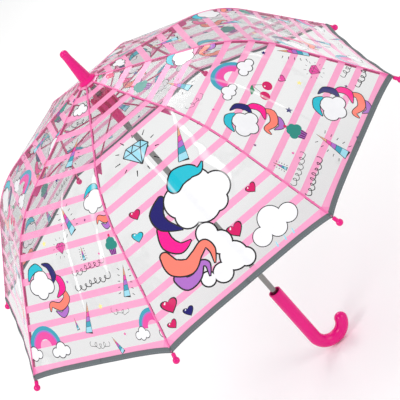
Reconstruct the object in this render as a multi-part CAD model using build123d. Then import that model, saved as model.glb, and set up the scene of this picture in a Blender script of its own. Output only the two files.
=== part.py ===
from build123d import *
import os
from math import acos, asin, atan2, cos, degrees, hypot, radians, sin, tan

# A children's dome umbrella, shown open. Millimetres, +Z along the shaft towards the ferrule.
# The origin is the middle of the straight grip, on the shaft's axis; the hook opens towards +X.

# ---------------------------------------------------------------- driving dimensions
RIB_COUNT = 8
FIRST_RIB_AZIMUTH = -25.3  # degrees from +X, seen from above
CANOPY_RADIUS = 320.0  # shaft axis to the middle of a tip ball
DOME_HEIGHT = 224.0  # top of the film above the tip balls
CROWN_SLOPE = 17.2  # degrees, fall of the upper ribs
SKIRT_SLOPE = 52.5  # degrees, fall of the rib ends
RIB_BEND_RADIUS = 168.0  # where the lower rib turns from crown to skirt
RIB_DIAMETER = 2.6
FILM_THICKNESS = 0.4
FILM_CLEARANCE = 0.5  # rib wire to film
FILM_HOLE_RADIUS = 5.5  # round the shaft
HEM_SETBACK = 10.0  # hem corner to tip ball, along the rib
BINDING_WIDTH = 7.0
BINDING_THICKNESS = 0.6

SHAFT_DIAMETER = 8.0
SHAFT_WALL = 0.8
SHAFT_ABOVE_CROWN = 30.0

GRIP_LENGTH = 96.0  # straight part of the handle
HANDLE_DIAMETER = 18.5
HOOK_RADIUS = 22.5  # centreline of the bend
HOOK_SWEEP = 165.0  # degrees
FOLDED_TIPS_GAP = 12.76  # handle's top to the middles of the tip balls, folded
HANDLE_SOCKET_DEPTH = 80.0
HANDLE_RECESS_DEPTH = 8.0
HANDLE_RECESS_DIAMETER = 14.4

FERRULE_HEIGHT = 47.0
FERRULE_BASE_DIAMETER = 16.5
FERRULE_TOP_DIAMETER = 11.0
FERRULE_TIP_LENGTH = 8.0  # straight part that goes into a stand's hole
FERRULE_END_FLAT = 0.6  # radius of the flat left on the rounded end
WASHER_DIAMETER = 24.0
WASHER_THICKNESS = 1.6

NOTCH_DIAMETER = 23.0
NOTCH_FLOOR_DROP = 10.0  # film's top to the notch's underside
NOTCH_PIVOT_RADIUS = 8.0
WIRE_DIAMETER = 1.2  # both pivot rings

RUNNER_HEAD_DIAMETER = 31.0
RUNNER_HEAD_TOP = 195.5  # above the tip balls
RUNNER_HEAD_HEIGHT = 25.0
RUNNER_FLANGE_HEIGHT = 9.0
RUNNER_COLLAR_DIAMETER = 29.0
RUNNER_BODY_DIAMETER = 13.2
RUNNER_BOTTOM = 147.0  # above the tip balls
RUNNER_RING_RADIUS = 11.9
RUNNER_PIVOT_RADIUS = 12.5  # of a stretcher's inner end, in its own plane
RUNNER_PIVOT_HEIGHT = 175.0  # above the tip balls
RUNNER_RIM_HEIGHT = 4.0  # full bore that rests on a catch
RUNNER_SLOT_FLOOR = 9.2

STRETCHER_DIAMETER = 2.0
STRETCHER_OFFSET = 6.8  # beside the shaft, so that the folding ends pass it
FORK_PLATE = 1.0
FORK_BRIDGE = 3.0
EYE_RADIUS = 2.3
HUB_EYE_RADIUS = 1.5
CLIP_PIN_DIAMETER = 1.6
CLIP_PIN_DROP = 1.2  # pin below the rib wire's middle
CLIP_CHEEK = 1.0
CLIP_LENGTH = 8.0
CLIP_DEPTH = 2.2
CLIP_LIP = 0.9
EYE_FLATTENING = 0.2  # rib wire to its flattened eye
RIB_END_GAP = 3.6  # upper rib's end to the clip pin

TIP_BALL_DIAMETER = 8.6
TIP_NECK_DIAMETER = 5.0
TIP_NECK_LENGTH = 9.0

CATCH_PROUD = 1.5
CATCH_HEIGHT = 12.5
CATCH_WIDTH = 1.2
CATCH_FOOT = 4.0  # how far the hidden foot runs past the slot, each end
CATCH_TO_HANDLE_GAP = 5.0  # least room between the bottom catch's foot and the handle
STOP_PIN_DIAMETER = 1.8

FOLDED_CLIP_RADIUS = 16.0  # clip pins from the axis, folded
FOLDED_TIP_RADIUS = 14.0  # tip balls from the axis, folded

# ---------------------------------------------------------------- clearances
SLIDE_CLEARANCE = 0.08  # runner on shaft, radial
SEAT_CLEARANCE = 0.04  # fixed seats and pivots, radial
SIDE_CLEARANCE = 0.15  # between flat faces that turn
RUNNER_SLOT_CLEARANCE = 0.35  # each side of a stretcher
NOTCH_SLOT_CLEARANCE = 0.2  # each side of a rib
FORK_CLEARANCE = 0.86  # fork's bridge under the clip's corner, open
PANEL_GAP = 0.15  # each panel's edge to the middle of its gore
STACK_GAP = 0.3
RING_CLEARANCE = 0.15  # straight eye on a curved ring

# ---------------------------------------------------------------- derived places
SECTOR = 360.0 / RIB_COUNT
AZIMUTHS = [FIRST_RIB_AZIMUTH + SECTOR * i for i in range(RIB_COUNT)]
HANDLE_TOP = GRIP_LENGTH / 2
CROWN_TAN = tan(radians(CROWN_SLOPE))
SKIRT_TAN = tan(radians(SKIRT_SLOPE))
RIB_RADIUS = RIB_DIAMETER / 2
SHAFT_RADIUS = SHAFT_DIAMETER / 2
SHAFT_BOTTOM = HANDLE_TOP - HANDLE_SOCKET_DEPTH + 1.0
RIB_OFFSET = RIB_RADIUS + FILM_CLEARANCE + FILM_THICKNESS  # film's outside to the wire's middle
RIB_EYE_THICKNESS = RIB_DIAMETER - EYE_FLATTENING
NOTCH_SLOT_WIDTH = RIB_DIAMETER + 2 * NOTCH_SLOT_CLEARANCE


def dome_line(offset, start_radius, end_setback, steps=12):
    """Points (radius, height above the tip balls) of a rib's line, moved inwards by offset."""
    crown_z = DOME_HEIGHT - offset / cos(radians(CROWN_SLOPE))
    shift = RIB_OFFSET - offset
    ball_r = CANOPY_RADIUS + shift * sin(radians(SKIRT_SLOPE))
    ball_z = shift * cos(radians(SKIRT_SLOPE))
    corner_r = (SKIRT_TAN * ball_r + ball_z - crown_z) / (SKIRT_TAN - CROWN_TAN)
    corner_z = crown_z - corner_r * CROWN_TAN
    bend = RIB_BEND_RADIUS + shift
    tangent = bend * tan(radians(SKIRT_SLOPE - CROWN_SLOPE) / 2)
    first_r = corner_r - tangent * cos(radians(CROWN_SLOPE))
    first_z = corner_z + tangent * sin(radians(CROWN_SLOPE))
    centre_r = first_r - bend * sin(radians(CROWN_SLOPE))
    centre_z = first_z - bend * cos(radians(CROWN_SLOPE))
    points = [(start_radius, crown_z - start_radius * CROWN_TAN)]
    for i in range(steps + 1):
        slope = radians(CROWN_SLOPE + (SKIRT_SLOPE - CROWN_SLOPE) * i / steps)
        points.append((centre_r + bend * sin(slope), centre_z + bend * cos(slope)))
    end_r = ball_r - end_setback * cos(radians(SKIRT_SLOPE))
    end_z = ball_z + end_setback * sin(radians(SKIRT_SLOPE))
    points.append((end_r, end_z))
    return points


def pin_of(joint):
    """The clip's pin under a rib joint, as (radius, height)."""
    slope = radians(CROWN_SLOPE)
    return joint[0] - CLIP_PIN_DROP * sin(slope), joint[1] - CLIP_PIN_DROP * cos(slope)


# the fold: each length turns in its rib's plane, and the runner goes down the shaft
HUB_END, JOINT_END, *_, TIP_END = dome_line(RIB_OFFSET, NOTCH_PIVOT_RADIUS, 0)
PIN_END = pin_of(JOINT_END)
UPPER_REACH = hypot(PIN_END[0] - HUB_END[0], HUB_END[1] - PIN_END[1])
UPPER_OPEN = atan2(PIN_END[0] - HUB_END[0], HUB_END[1] - PIN_END[1])
UPPER_FOLDED = asin((FOLDED_CLIP_RADIUS - HUB_END[0]) / UPPER_REACH)
STRETCHER_REACH = hypot(PIN_END[0] - RUNNER_PIVOT_RADIUS, PIN_END[1] - RUNNER_PIVOT_HEIGHT)
STRETCHER_OPEN = asin((PIN_END[1] - RUNNER_PIVOT_HEIGHT) / STRETCHER_REACH)
STRETCHER_FOLDED = acos((FOLDED_CLIP_RADIUS - RUNNER_PIVOT_RADIUS) / STRETCHER_REACH)
LOWER_REACH = hypot(TIP_END[0] - PIN_END[0], PIN_END[1] - TIP_END[1])
LOWER_OPEN = atan2(TIP_END[0] - PIN_END[0], PIN_END[1] - TIP_END[1])
LOWER_FOLDED = asin((FOLDED_TIP_RADIUS - FOLDED_CLIP_RADIUS) / LOWER_REACH)

FOLDED_CLIP_HEIGHT = HUB_END[1] - UPPER_REACH * cos(UPPER_FOLDED)
FOLDED_PIVOT_HEIGHT = FOLDED_CLIP_HEIGHT - STRETCHER_REACH * sin(STRETCHER_FOLDED)
FOLDED_TIPS_HEIGHT = FOLDED_CLIP_HEIGHT - LOWER_REACH * cos(LOWER_FOLDED)
RUNNER_TRAVEL = RUNNER_PIVOT_HEIGHT - FOLDED_PIVOT_HEIGHT

# the stick is as long as the folded ribs and the bottom catch need, down to the handle
CATCH_FOOT_HEIGHT = RUNNER_BOTTOM - RUNNER_TRAVEL + RUNNER_RIM_HEIGHT + STACK_GAP - CATCH_FOOT
TIPS_Z = HANDLE_TOP + max(FOLDED_TIPS_GAP - FOLDED_TIPS_HEIGHT, CATCH_TO_HANDLE_GAP - CATCH_FOOT_HEIGHT)
CROWN_Z = TIPS_Z + DOME_HEIGHT
SHAFT_TOP = CROWN_Z + SHAFT_ABOVE_CROWN
RIB_LINE = [(radius, TIPS_Z + height) for radius, height in dome_line(RIB_OFFSET, NOTCH_PIVOT_RADIUS, 0)]
NOTCH_PIVOT = RIB_LINE[0]
RIB_JOINT = RIB_LINE[1]
BALL = RIB_LINE[-1]
CLIP_PIN = pin_of(RIB_JOINT)
RUNNER_PIVOT = (RUNNER_PIVOT_RADIUS, TIPS_Z + RUNNER_PIVOT_HEIGHT)
RIB_FOLD = UPPER_OPEN - UPPER_FOLDED
RIB_FLEX = RIB_FOLD - (LOWER_OPEN - LOWER_FOLDED)
STRETCHER_SWING = RIB_FOLD + STRETCHER_FOLDED - STRETCHER_OPEN

# the fork's bridge is far enough from its pin to pass under the clip's corner
FORK_HALF_HEIGHT = EYE_RADIUS - 0.8
FORK_ANGLE = radians(CROWN_SLOPE) + STRETCHER_OPEN
FORK_DROP = CLIP_DEPTH - CLIP_PIN_DROP + FORK_HALF_HEIGHT * cos(FORK_ANGLE) + FORK_CLEARANCE
FORK_REACH = FORK_BRIDGE + FORK_DROP / sin(FORK_ANGLE)

HEAD_TOP_Z = TIPS_Z + RUNNER_HEAD_TOP
BODY_BOTTOM_Z = TIPS_Z + RUNNER_BOTTOM
GROOVE_RADIUS = SHAFT_RADIUS + CATCH_PROUD + 0.2
STOP_PIN_Z = HEAD_TOP_Z + 0.2 + STOP_PIN_DIAMETER / 2
TOP_CATCH_Z = BODY_BOTTOM_Z - STACK_GAP
BOTTOM_CATCH_Z = BODY_BOTTOM_Z - RUNNER_TRAVEL + RUNNER_RIM_HEIGHT + STACK_GAP


# ---------------------------------------------------------------- small helpers
def outline(offset, start_radius, end_setback):
    """Points (radius, z) of a rib's line, moved inwards by offset, from the crown to the skirt."""
    return [(radius, TIPS_Z + height) for radius, height in dome_line(offset, start_radius, end_setback)]


def turned(points):
    """A solid of revolution about the shaft's axis, from (radius, z) points."""
    return revolve(Plane.XZ * make_face(Polyline(*points, close=True)), Axis.Z)


def plate(points, thickness):
    """A flat plate in the XZ plane, from (x, z) points, half its thickness each side."""
    return extrude(Plane.XZ * make_face(Polyline(*points, close=True)), thickness / 2, both=True)


def disc(centre, radius, thickness):
    """A round plate at (x, z), its axis along Y."""
    x, z = centre
    return Pos(x, 0, z) * Rot(90, 0, 0) * Cylinder(radius, thickness)


def rod(start, end, radius):
    """A straight round rod between two points."""
    along = Vector(*end) - Vector(*start)
    plane = Plane(origin=start, z_dir=along)
    return plane * Cylinder(radius, along.length, align=(Align.CENTER, Align.CENTER, Align.MIN))


def ring(radius, height):
    return Pos(0, 0, height) * Torus(radius, WIRE_DIAMETER / 2)


def around(shape, azimuth):
    return Rot(0, 0, azimuth) * shape


def save(name, shape):
    export_step(shape, "parts/" + name + ".step")


def save_around(name, shape):
    """One copy of a rib's piece at each rib, numbered from 1."""
    for number, azimuth in enumerate(AZIMUTHS, 1):
        save(name + "_" + str(number), around(shape, azimuth))


# ---------------------------------------------------------------- stick
def catch_slot(top, height):
    box = Box(SHAFT_DIAMETER, CATCH_WIDTH + 0.3, height, align=(Align.MIN, Align.CENTER, Align.MAX))
    return Pos(0, 0, top) * box


def shaft():
    height = SHAFT_TOP - SHAFT_BOTTOM
    tube = Cylinder(SHAFT_RADIUS, height, align=(Align.CENTER, Align.CENTER, Align.MIN))
    bore = Cylinder(SHAFT_RADIUS - SHAFT_WALL, height, align=(Align.CENTER, Align.CENTER, Align.MIN))
    body = Pos(0, 0, SHAFT_BOTTOM) * (tube - bore)
    body -= catch_slot(TOP_CATCH_Z + 0.15, CATCH_HEIGHT + 0.3)
    body -= catch_slot(BOTTOM_CATCH_Z + CATCH_HEIGHT + 0.15, CATCH_HEIGHT + 0.3)
    pin_hole = Cylinder(STOP_PIN_DIAMETER / 2 + SEAT_CLEARANCE, SHAFT_DIAMETER + 2)
    return body - Pos(0, 0, STOP_PIN_Z) * Rot(90, 0, 0) * pin_hole


def stop_pin():
    length = SHAFT_DIAMETER + 5
    return Pos(0, 0, STOP_PIN_Z) * Rot(90, 0, 0) * Cylinder(STOP_PIN_DIAMETER / 2, length)


def catch(flat_z, taper):
    """A leaf catch behind its slot; its flat end is at flat_z and it tapers up (1) or down (-1)."""
    inside = SHAFT_RADIUS - SHAFT_WALL - 0.1
    tail = flat_z + taper * CATCH_HEIGHT
    outline_points = [
        (inside, flat_z),
        (SHAFT_RADIUS + CATCH_PROUD, flat_z),
        (SHAFT_RADIUS + CATCH_PROUD, flat_z + taper * 2.0),
        (SHAFT_RADIUS + 0.2, tail),
        (inside, tail),
        (inside, tail + taper * CATCH_FOOT),
        (inside - 1.2, tail + taper * CATCH_FOOT),
        (inside - 1.2, flat_z - taper * CATCH_FOOT),
        (inside, flat_z - taper * CATCH_FOOT),
    ]
    return plate(outline_points, CATCH_WIDTH)


def handle():
    radius = HANDLE_DIAMETER / 2
    bend_end = radians(HOOK_SWEEP)
    end_x = HOOK_RADIUS - HOOK_RADIUS * cos(bend_end)
    end_z = -HANDLE_TOP - HOOK_RADIUS * sin(bend_end)
    grip = Line((0, 0, HANDLE_TOP), (0, 0, -HANDLE_TOP))
    middle_x = HOOK_RADIUS - HOOK_RADIUS * cos(bend_end / 2)
    middle_z = -HANDLE_TOP - HOOK_RADIUS * sin(bend_end / 2)
    bend = ThreePointArc((0, 0, -HANDLE_TOP), (middle_x, 0, middle_z), (end_x, 0, end_z))
    section = Plane(origin=(0, 0, HANDLE_TOP), z_dir=(0, 0, -1)) * Circle(radius)
    body = sweep(section, path=grip + bend) + Pos(end_x, 0, end_z) * Sphere(radius)
    socket = Cylinder(
        SHAFT_RADIUS + SEAT_CLEARANCE, HANDLE_SOCKET_DEPTH, align=(Align.CENTER, Align.CENTER, Align.MAX)
    )
    recess = Cylinder(
        HANDLE_RECESS_DIAMETER / 2, HANDLE_RECESS_DEPTH, align=(Align.CENTER, Align.CENTER, Align.MAX)
    )
    body -= Pos(0, 0, HANDLE_TOP) * socket
    body -= Pos(0, 0, HANDLE_TOP) * recess
    rims = body.edges().filter_by(GeomType.CIRCLE).filter_by(
        lambda edge: abs(edge.center().Z - HANDLE_TOP) < 0.01
    )
    return fillet(rims, 0.8)


# ---------------------------------------------------------------- crown
def washer():
    inner = SHAFT_RADIUS + SEAT_CLEARANCE
    outer = WASHER_DIAMETER / 2
    base = CROWN_Z + STACK_GAP
    points = [
        (inner, base - inner * CROWN_TAN),
        (outer, base - outer * CROWN_TAN),
        (outer, base - outer * CROWN_TAN + WASHER_THICKNESS * 0.6),
        (FERRULE_BASE_DIAMETER / 2, base + WASHER_THICKNESS - 1.0),
        (inner, base + WASHER_THICKNESS - 1.0),
    ]
    return turned(points)


def ferrule():
    base = CROWN_Z + STACK_GAP + WASHER_THICKNESS - 1.0
    top = CROWN_Z + FERRULE_HEIGHT
    base_radius = FERRULE_BASE_DIAMETER / 2
    top_radius = FERRULE_TOP_DIAMETER / 2
    rounding = top_radius - FERRULE_END_FLAT
    points = [
        (0, base),
        (base_radius, base),
        (base_radius, base + 3),
        (top_radius, top - rounding - FERRULE_TIP_LENGTH),
        (top_radius, top),
        (0, top),
    ]
    body = turned(points)
    tip = body.edges().filter_by(GeomType.CIRCLE).sort_by(Axis.Z)[-1]
    body = fillet(tip, rounding)
    bore = Cylinder(
        SHAFT_RADIUS + SEAT_CLEARANCE, SHAFT_TOP - base + 0.2, align=(Align.CENTER, Align.CENTER, Align.MIN)
    )
    return body - Pos(0, 0, base) * bore


def notch():
    inner = SHAFT_RADIUS + SEAT_CLEARANCE
    outer = NOTCH_DIAMETER / 2
    top = CROWN_Z - FILM_THICKNESS / cos(radians(CROWN_SLOPE)) - STACK_GAP
    floor = CROWN_Z - NOTCH_FLOOR_DROP
    under_film = [(inner, top - inner * CROWN_TAN), (outer, top - outer * CROWN_TAN)]
    body = turned([*under_film, (outer, floor), (inner, floor)])
    slot_floor = NOTCH_PIVOT_RADIUS - HUB_EYE_RADIUS - STACK_GAP
    slot = Box(outer, NOTCH_SLOT_WIDTH, 40, align=(Align.MIN, Align.CENTER, Align.CENTER))
    groove = Pos(0, 0, NOTCH_PIVOT[1]) * Torus(NOTCH_PIVOT_RADIUS, WIRE_DIAMETER / 2 + SEAT_CLEARANCE)
    for azimuth in AZIMUTHS:
        body -= around(Pos(slot_floor, 0, CROWN_Z) * slot, azimuth)
    return body - groove


# ---------------------------------------------------------------- runner
def runner():
    bore = SHAFT_RADIUS + SLIDE_CLEARANCE
    head = RUNNER_HEAD_DIAMETER / 2
    collar = RUNNER_COLLAR_DIAMETER / 2
    body = RUNNER_BODY_DIAMETER / 2
    flange_z = HEAD_TOP_Z - RUNNER_FLANGE_HEIGHT
    collar_z = HEAD_TOP_Z - RUNNER_HEAD_HEIGHT
    points = [
        (bore, BODY_BOTTOM_Z),
        (body, BODY_BOTTOM_Z),
        (body, collar_z - 2),
        (collar - 3, collar_z),
        (collar, collar_z + 2),
        (collar, flange_z),
        (head, flange_z + 1),
        (head, HEAD_TOP_Z - 1),
        (head - 1, HEAD_TOP_Z),
        (bore, HEAD_TOP_Z),
    ]
    shape = turned(points)
    # a folding stretcher leans across its slot, because its far end lies in the rib's plane
    lean = STRETCHER_OFFSET * 2 * (HEAD_TOP_Z - RUNNER_PIVOT[1]) / STRETCHER_REACH
    slot_width = STRETCHER_DIAMETER + lean + 2 * RUNNER_SLOT_CLEARANCE
    slot = Box(head, slot_width, 60, align=(Align.MIN, Align.CENTER, Align.CENTER))
    for azimuth in AZIMUTHS:
        shape -= around(Pos(RUNNER_SLOT_FLOOR, STRETCHER_OFFSET - lean / 2, RUNNER_PIVOT[1]) * slot, azimuth)
    groove_height = HEAD_TOP_Z - BODY_BOTTOM_Z - RUNNER_RIM_HEIGHT
    groove = Box(GROOVE_RADIUS, CATCH_WIDTH + 0.6, groove_height, align=(Align.MIN, Align.CENTER, Align.MAX))
    shape -= Pos(0, 0, HEAD_TOP_Z) * groove
    tunnel = Torus(RUNNER_RING_RADIUS, WIRE_DIAMETER / 2 + SEAT_CLEARANCE)
    return shape - Pos(0, 0, RUNNER_PIVOT[1]) * tunnel


# ---------------------------------------------------------------- ribs and stretchers
def along_rib(distance, drop):
    """(x, z) at a distance from the rib joint along the upper rib's line, and a drop below it."""
    slope = radians(CROWN_SLOPE)
    x = RIB_JOINT[0] + distance * cos(slope) - drop * sin(slope)
    z = RIB_JOINT[1] - distance * sin(slope) - drop * cos(slope)
    return x, z


def rib_upper():
    end_x, end_z = along_rib(-RIB_END_GAP, 0)
    wire = rod((NOTCH_PIVOT[0], 0, NOTCH_PIVOT[1]), (end_x, 0, end_z), RIB_RADIUS)
    eye = disc(NOTCH_PIVOT, HUB_EYE_RADIUS, RIB_EYE_THICKNESS)
    hole = disc(NOTCH_PIVOT, WIRE_DIAMETER / 2 + RING_CLEARANCE, RIB_EYE_THICKNESS + 2)
    return wire + eye - hole


def rib_lower():
    bend_middle = RIB_LINE[len(RIB_LINE) // 2]
    bend_end = RIB_LINE[-2]
    path = ThreePointArc(
        (RIB_JOINT[0], 0, RIB_JOINT[1]),
        (bend_middle[0], 0, bend_middle[1]),
        (bend_end[0], 0, bend_end[1]),
    )
    slope = radians(CROWN_SLOPE)
    section = Plane(origin=(RIB_JOINT[0], 0, RIB_JOINT[1]), z_dir=(cos(slope), 0, -sin(slope)))
    bent = sweep(section * Circle(RIB_RADIUS), path=path)
    straight = rod((bend_end[0], 0, bend_end[1]), (BALL[0], 0, BALL[1]), RIB_RADIUS)
    eye = disc(CLIP_PIN, EYE_RADIUS, RIB_EYE_THICKNESS)
    hole = disc(CLIP_PIN, CLIP_PIN_DIAMETER / 2 + SEAT_CLEARANCE, RIB_EYE_THICKNESS + 2)
    return bent + straight + eye - hole


def joint_clip():
    inner = RIB_EYE_THICKNESS / 2 + SIDE_CLEARANCE
    outer = inner + CLIP_CHEEK
    start = -RIB_END_GAP - CLIP_LENGTH
    stop = -RIB_END_GAP + 0.6
    sleeve_corners = [
        along_rib(start, CLIP_DEPTH),
        along_rib(stop, CLIP_DEPTH),
        along_rib(stop, -CLIP_LIP),
        along_rib(start, -CLIP_LIP),
    ]
    sleeve = plate(sleeve_corners, 2 * outer)
    far_x, far_z = along_rib(10, 0)
    near_x, near_z = along_rib(-20, 0)
    sleeve -= rod((near_x, 0, near_z), (far_x, 0, far_z), RIB_RADIUS + SEAT_CLEARANCE)
    arm_corners = [
        along_rib(start, CLIP_DEPTH),
        along_rib(0, CLIP_DEPTH),
        along_rib(0, -CLIP_LIP),
        along_rib(start, -CLIP_LIP),
    ]
    cheeks = plate(arm_corners, 2 * outer) + disc(CLIP_PIN, CLIP_LIP + CLIP_PIN_DROP, 2 * outer)
    cheeks -= plate([along_rib(s, d) for s, d in ((-60, 9), (9, 9), (9, -9), (-60, -9))], 2 * inner)
    pin_half = outer + SIDE_CLEARANCE + FORK_PLATE + 0.4
    pin = disc(CLIP_PIN, CLIP_PIN_DIAMETER / 2, 2 * pin_half)
    return sleeve + cheeks + pin


def stretcher():
    inner = RIB_EYE_THICKNESS / 2 + CLIP_CHEEK + 2 * SIDE_CLEARANCE
    outer = inner + FORK_PLATE
    x, z = CLIP_PIN
    half = FORK_HALF_HEIGHT
    arm = [(x, z - half), (x, z + half), (x - FORK_REACH, z + half), (x - FORK_REACH, z - half)]
    fork = plate(arm, 2 * outer) + disc(CLIP_PIN, EYE_RADIUS, 2 * outer)
    gap = [
        (x + 9, z - 9),
        (x + 9, z + 9),
        (x - FORK_REACH + FORK_BRIDGE, z + 9),
        (x - FORK_REACH + FORK_BRIDGE, z - 9),
    ]
    fork -= plate(gap, 2 * inner)
    fork -= disc(CLIP_PIN, CLIP_PIN_DIAMETER / 2 + SEAT_CLEARANCE, 2 * outer + 2)
    swing = Pos(x, 0, z) * Rot(0, -degrees(STRETCHER_OPEN), 0) * Pos(-x, 0, -z)
    nose = (RUNNER_PIVOT[0], STRETCHER_OFFSET, RUNNER_PIVOT[1])
    root_point = Vector(x, 0, z) + (Vector(*nose) - Vector(x, 0, z)) * (FORK_REACH - 1) / STRETCHER_REACH
    wire = rod(tuple(root_point), nose, STRETCHER_DIAMETER / 2)
    return swing * fork + wire + Pos(*nose) * Sphere(STRETCHER_DIAMETER / 2)


def tip_ball():
    slope = radians(SKIRT_SLOPE)
    ball = Pos(BALL[0], 0, BALL[1]) * Sphere(TIP_BALL_DIAMETER / 2)
    neck_x = BALL[0] - TIP_NECK_LENGTH * cos(slope)
    neck_z = BALL[1] + TIP_NECK_LENGTH * sin(slope)
    neck = rod((BALL[0], 0, BALL[1]), (neck_x, 0, neck_z), TIP_NECK_DIAMETER / 2)
    bore = rod((BALL[0], 0, BALL[1]), (neck_x, 0, neck_z), RIB_RADIUS + SEAT_CLEARANCE)
    return ball + neck - bore


# ---------------------------------------------------------------- canopy
def strip(outer_points, inner_points, side):
    """Half a gore beside the rib at azimuth 0: flat across, cut at the rib and at the gore's middle."""
    flat = cos(radians(SECTOR / 2))
    points = [(r * flat, z) for r, z in outer_points] + [(r * flat, z) for r, z in reversed(inner_points)]
    reach = CANOPY_RADIUS * sin(radians(SECTOR / 2)) + 5
    width = reach - PANEL_GAP
    face = Plane.XZ * make_face(Polyline(*points, close=True))
    half = Pos(0, -side * PANEL_GAP, 0) * extrude(face, side * width)
    half = around(half, side * SECTOR / 2)
    keep = Box(900, 450, 900, align=(Align.CENTER, Align.MIN, Align.CENTER))
    if side < 0:
        keep = mirror(keep, about=Plane.XZ)
    return half & Pos(0, 0, TIPS_Z) * keep


def canopy_panel():
    """The film on one rib, half of the gore on each side, with its share of the hem's binding."""
    film_out = outline(0, FILM_HOLE_RADIUS, HEM_SETBACK)
    film_in = outline(FILM_THICKNESS, FILM_HOLE_RADIUS, HEM_SETBACK)
    band_out = hem_band(outline(-BINDING_THICKNESS, FILM_HOLE_RADIUS, HEM_SETBACK)[-1])
    band_in = hem_band(film_out[-1])
    panel = strip(film_out, film_in, 1) + strip(film_out, film_in, -1)
    return panel + strip(band_out, band_in, 1) + strip(band_out, band_in, -1)


def hem_band(edge):
    """The binding's upper and lower edge, up the skirt from the hem."""
    r, z = edge
    slope = radians(SKIRT_SLOPE)
    return [(r - BINDING_WIDTH * cos(slope), z + BINDING_WIDTH * sin(slope)), (r, z)]


def main():
    os.makedirs("parts", exist_ok=True)
    save("shaft", shaft())
    save("stop_pin", stop_pin())
    save("handle", handle())
    save("ferrule", ferrule())
    save("crown_washer", washer())
    save("rib_notch", notch())
    save("notch_ring", ring(NOTCH_PIVOT_RADIUS, NOTCH_PIVOT[1]))
    save("runner", runner())
    save("runner_ring", ring(RUNNER_RING_RADIUS, RUNNER_PIVOT[1]))
    save("top_catch", catch(TOP_CATCH_Z, -1))
    save("bottom_catch", catch(BOTTOM_CATCH_Z, 1))
    save_around("rib_upper", rib_upper())
    save_around("rib_lower", rib_lower())
    save_around("joint_clip", joint_clip())
    save_around("stretcher", stretcher())
    save_around("tip_ball", tip_ball())
    save_around("canopy_panel", canopy_panel())


if __name__ == "__main__":
    main()
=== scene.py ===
"""Looks of a children's see-through dome umbrella, made on the frame of its CAD model.

Pieces and drawn motifs are sized in millimetres. Meshes, finishes and the studio are in metres.
A gore is drawn flat: x runs across it, to the right as seen from outside, and y runs down from the crown.
"""

from __future__ import annotations

import logging
import math
from dataclasses import dataclass, field
from enum import Enum
from typing import Callable, Iterable, Sequence

import bpy
import numpy as np
from mathutils import Matrix, Vector
from mathutils.geometry import delaunay_2d_cdt


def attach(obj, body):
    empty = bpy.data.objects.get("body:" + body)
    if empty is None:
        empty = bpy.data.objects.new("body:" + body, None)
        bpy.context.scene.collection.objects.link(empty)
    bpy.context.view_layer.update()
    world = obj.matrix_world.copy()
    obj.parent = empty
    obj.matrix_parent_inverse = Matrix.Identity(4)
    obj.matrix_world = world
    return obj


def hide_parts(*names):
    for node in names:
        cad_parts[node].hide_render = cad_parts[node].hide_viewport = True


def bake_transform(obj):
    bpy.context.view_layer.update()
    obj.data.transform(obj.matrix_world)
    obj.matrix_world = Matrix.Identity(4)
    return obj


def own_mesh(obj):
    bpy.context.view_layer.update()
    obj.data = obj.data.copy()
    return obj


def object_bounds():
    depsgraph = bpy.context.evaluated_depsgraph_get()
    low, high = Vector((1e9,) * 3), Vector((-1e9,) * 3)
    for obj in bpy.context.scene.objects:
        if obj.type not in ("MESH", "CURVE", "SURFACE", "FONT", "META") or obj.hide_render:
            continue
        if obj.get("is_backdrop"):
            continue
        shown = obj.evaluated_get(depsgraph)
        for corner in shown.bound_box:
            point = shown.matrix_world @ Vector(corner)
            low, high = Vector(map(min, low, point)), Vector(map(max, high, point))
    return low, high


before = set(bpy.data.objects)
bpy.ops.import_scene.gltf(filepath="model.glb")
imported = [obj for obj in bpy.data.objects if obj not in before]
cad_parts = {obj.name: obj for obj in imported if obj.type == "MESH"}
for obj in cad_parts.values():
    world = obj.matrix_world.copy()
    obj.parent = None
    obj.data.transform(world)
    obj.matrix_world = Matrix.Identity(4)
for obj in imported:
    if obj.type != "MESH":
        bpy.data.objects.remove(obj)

log = logging.getLogger("umbrella")

Triple = tuple[float, float, float]
Colour = Triple
Point = tuple[float, float]
MM = 0.001
WHITE: Colour = (1.0, 1.0, 1.0)


# ---------------------------------------------------------------- shader boards
def operator(operation: str, swapped: bool = False) -> Callable[[Wire, object], Wire]:
    """Make one arithmetic operator for wires.

    Args:
        operation: the Math node's operation.
        swapped: whether the wire is its second value.

    Returns:
        The operator, as a method.
    """
    def act(wire: Wire, other: object) -> Wire:
        """Work the operation out on a wire and a number or another wire."""
        return wire.maths(operation, *((other, wire) if swapped else (wire, other)))

    return act


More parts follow.
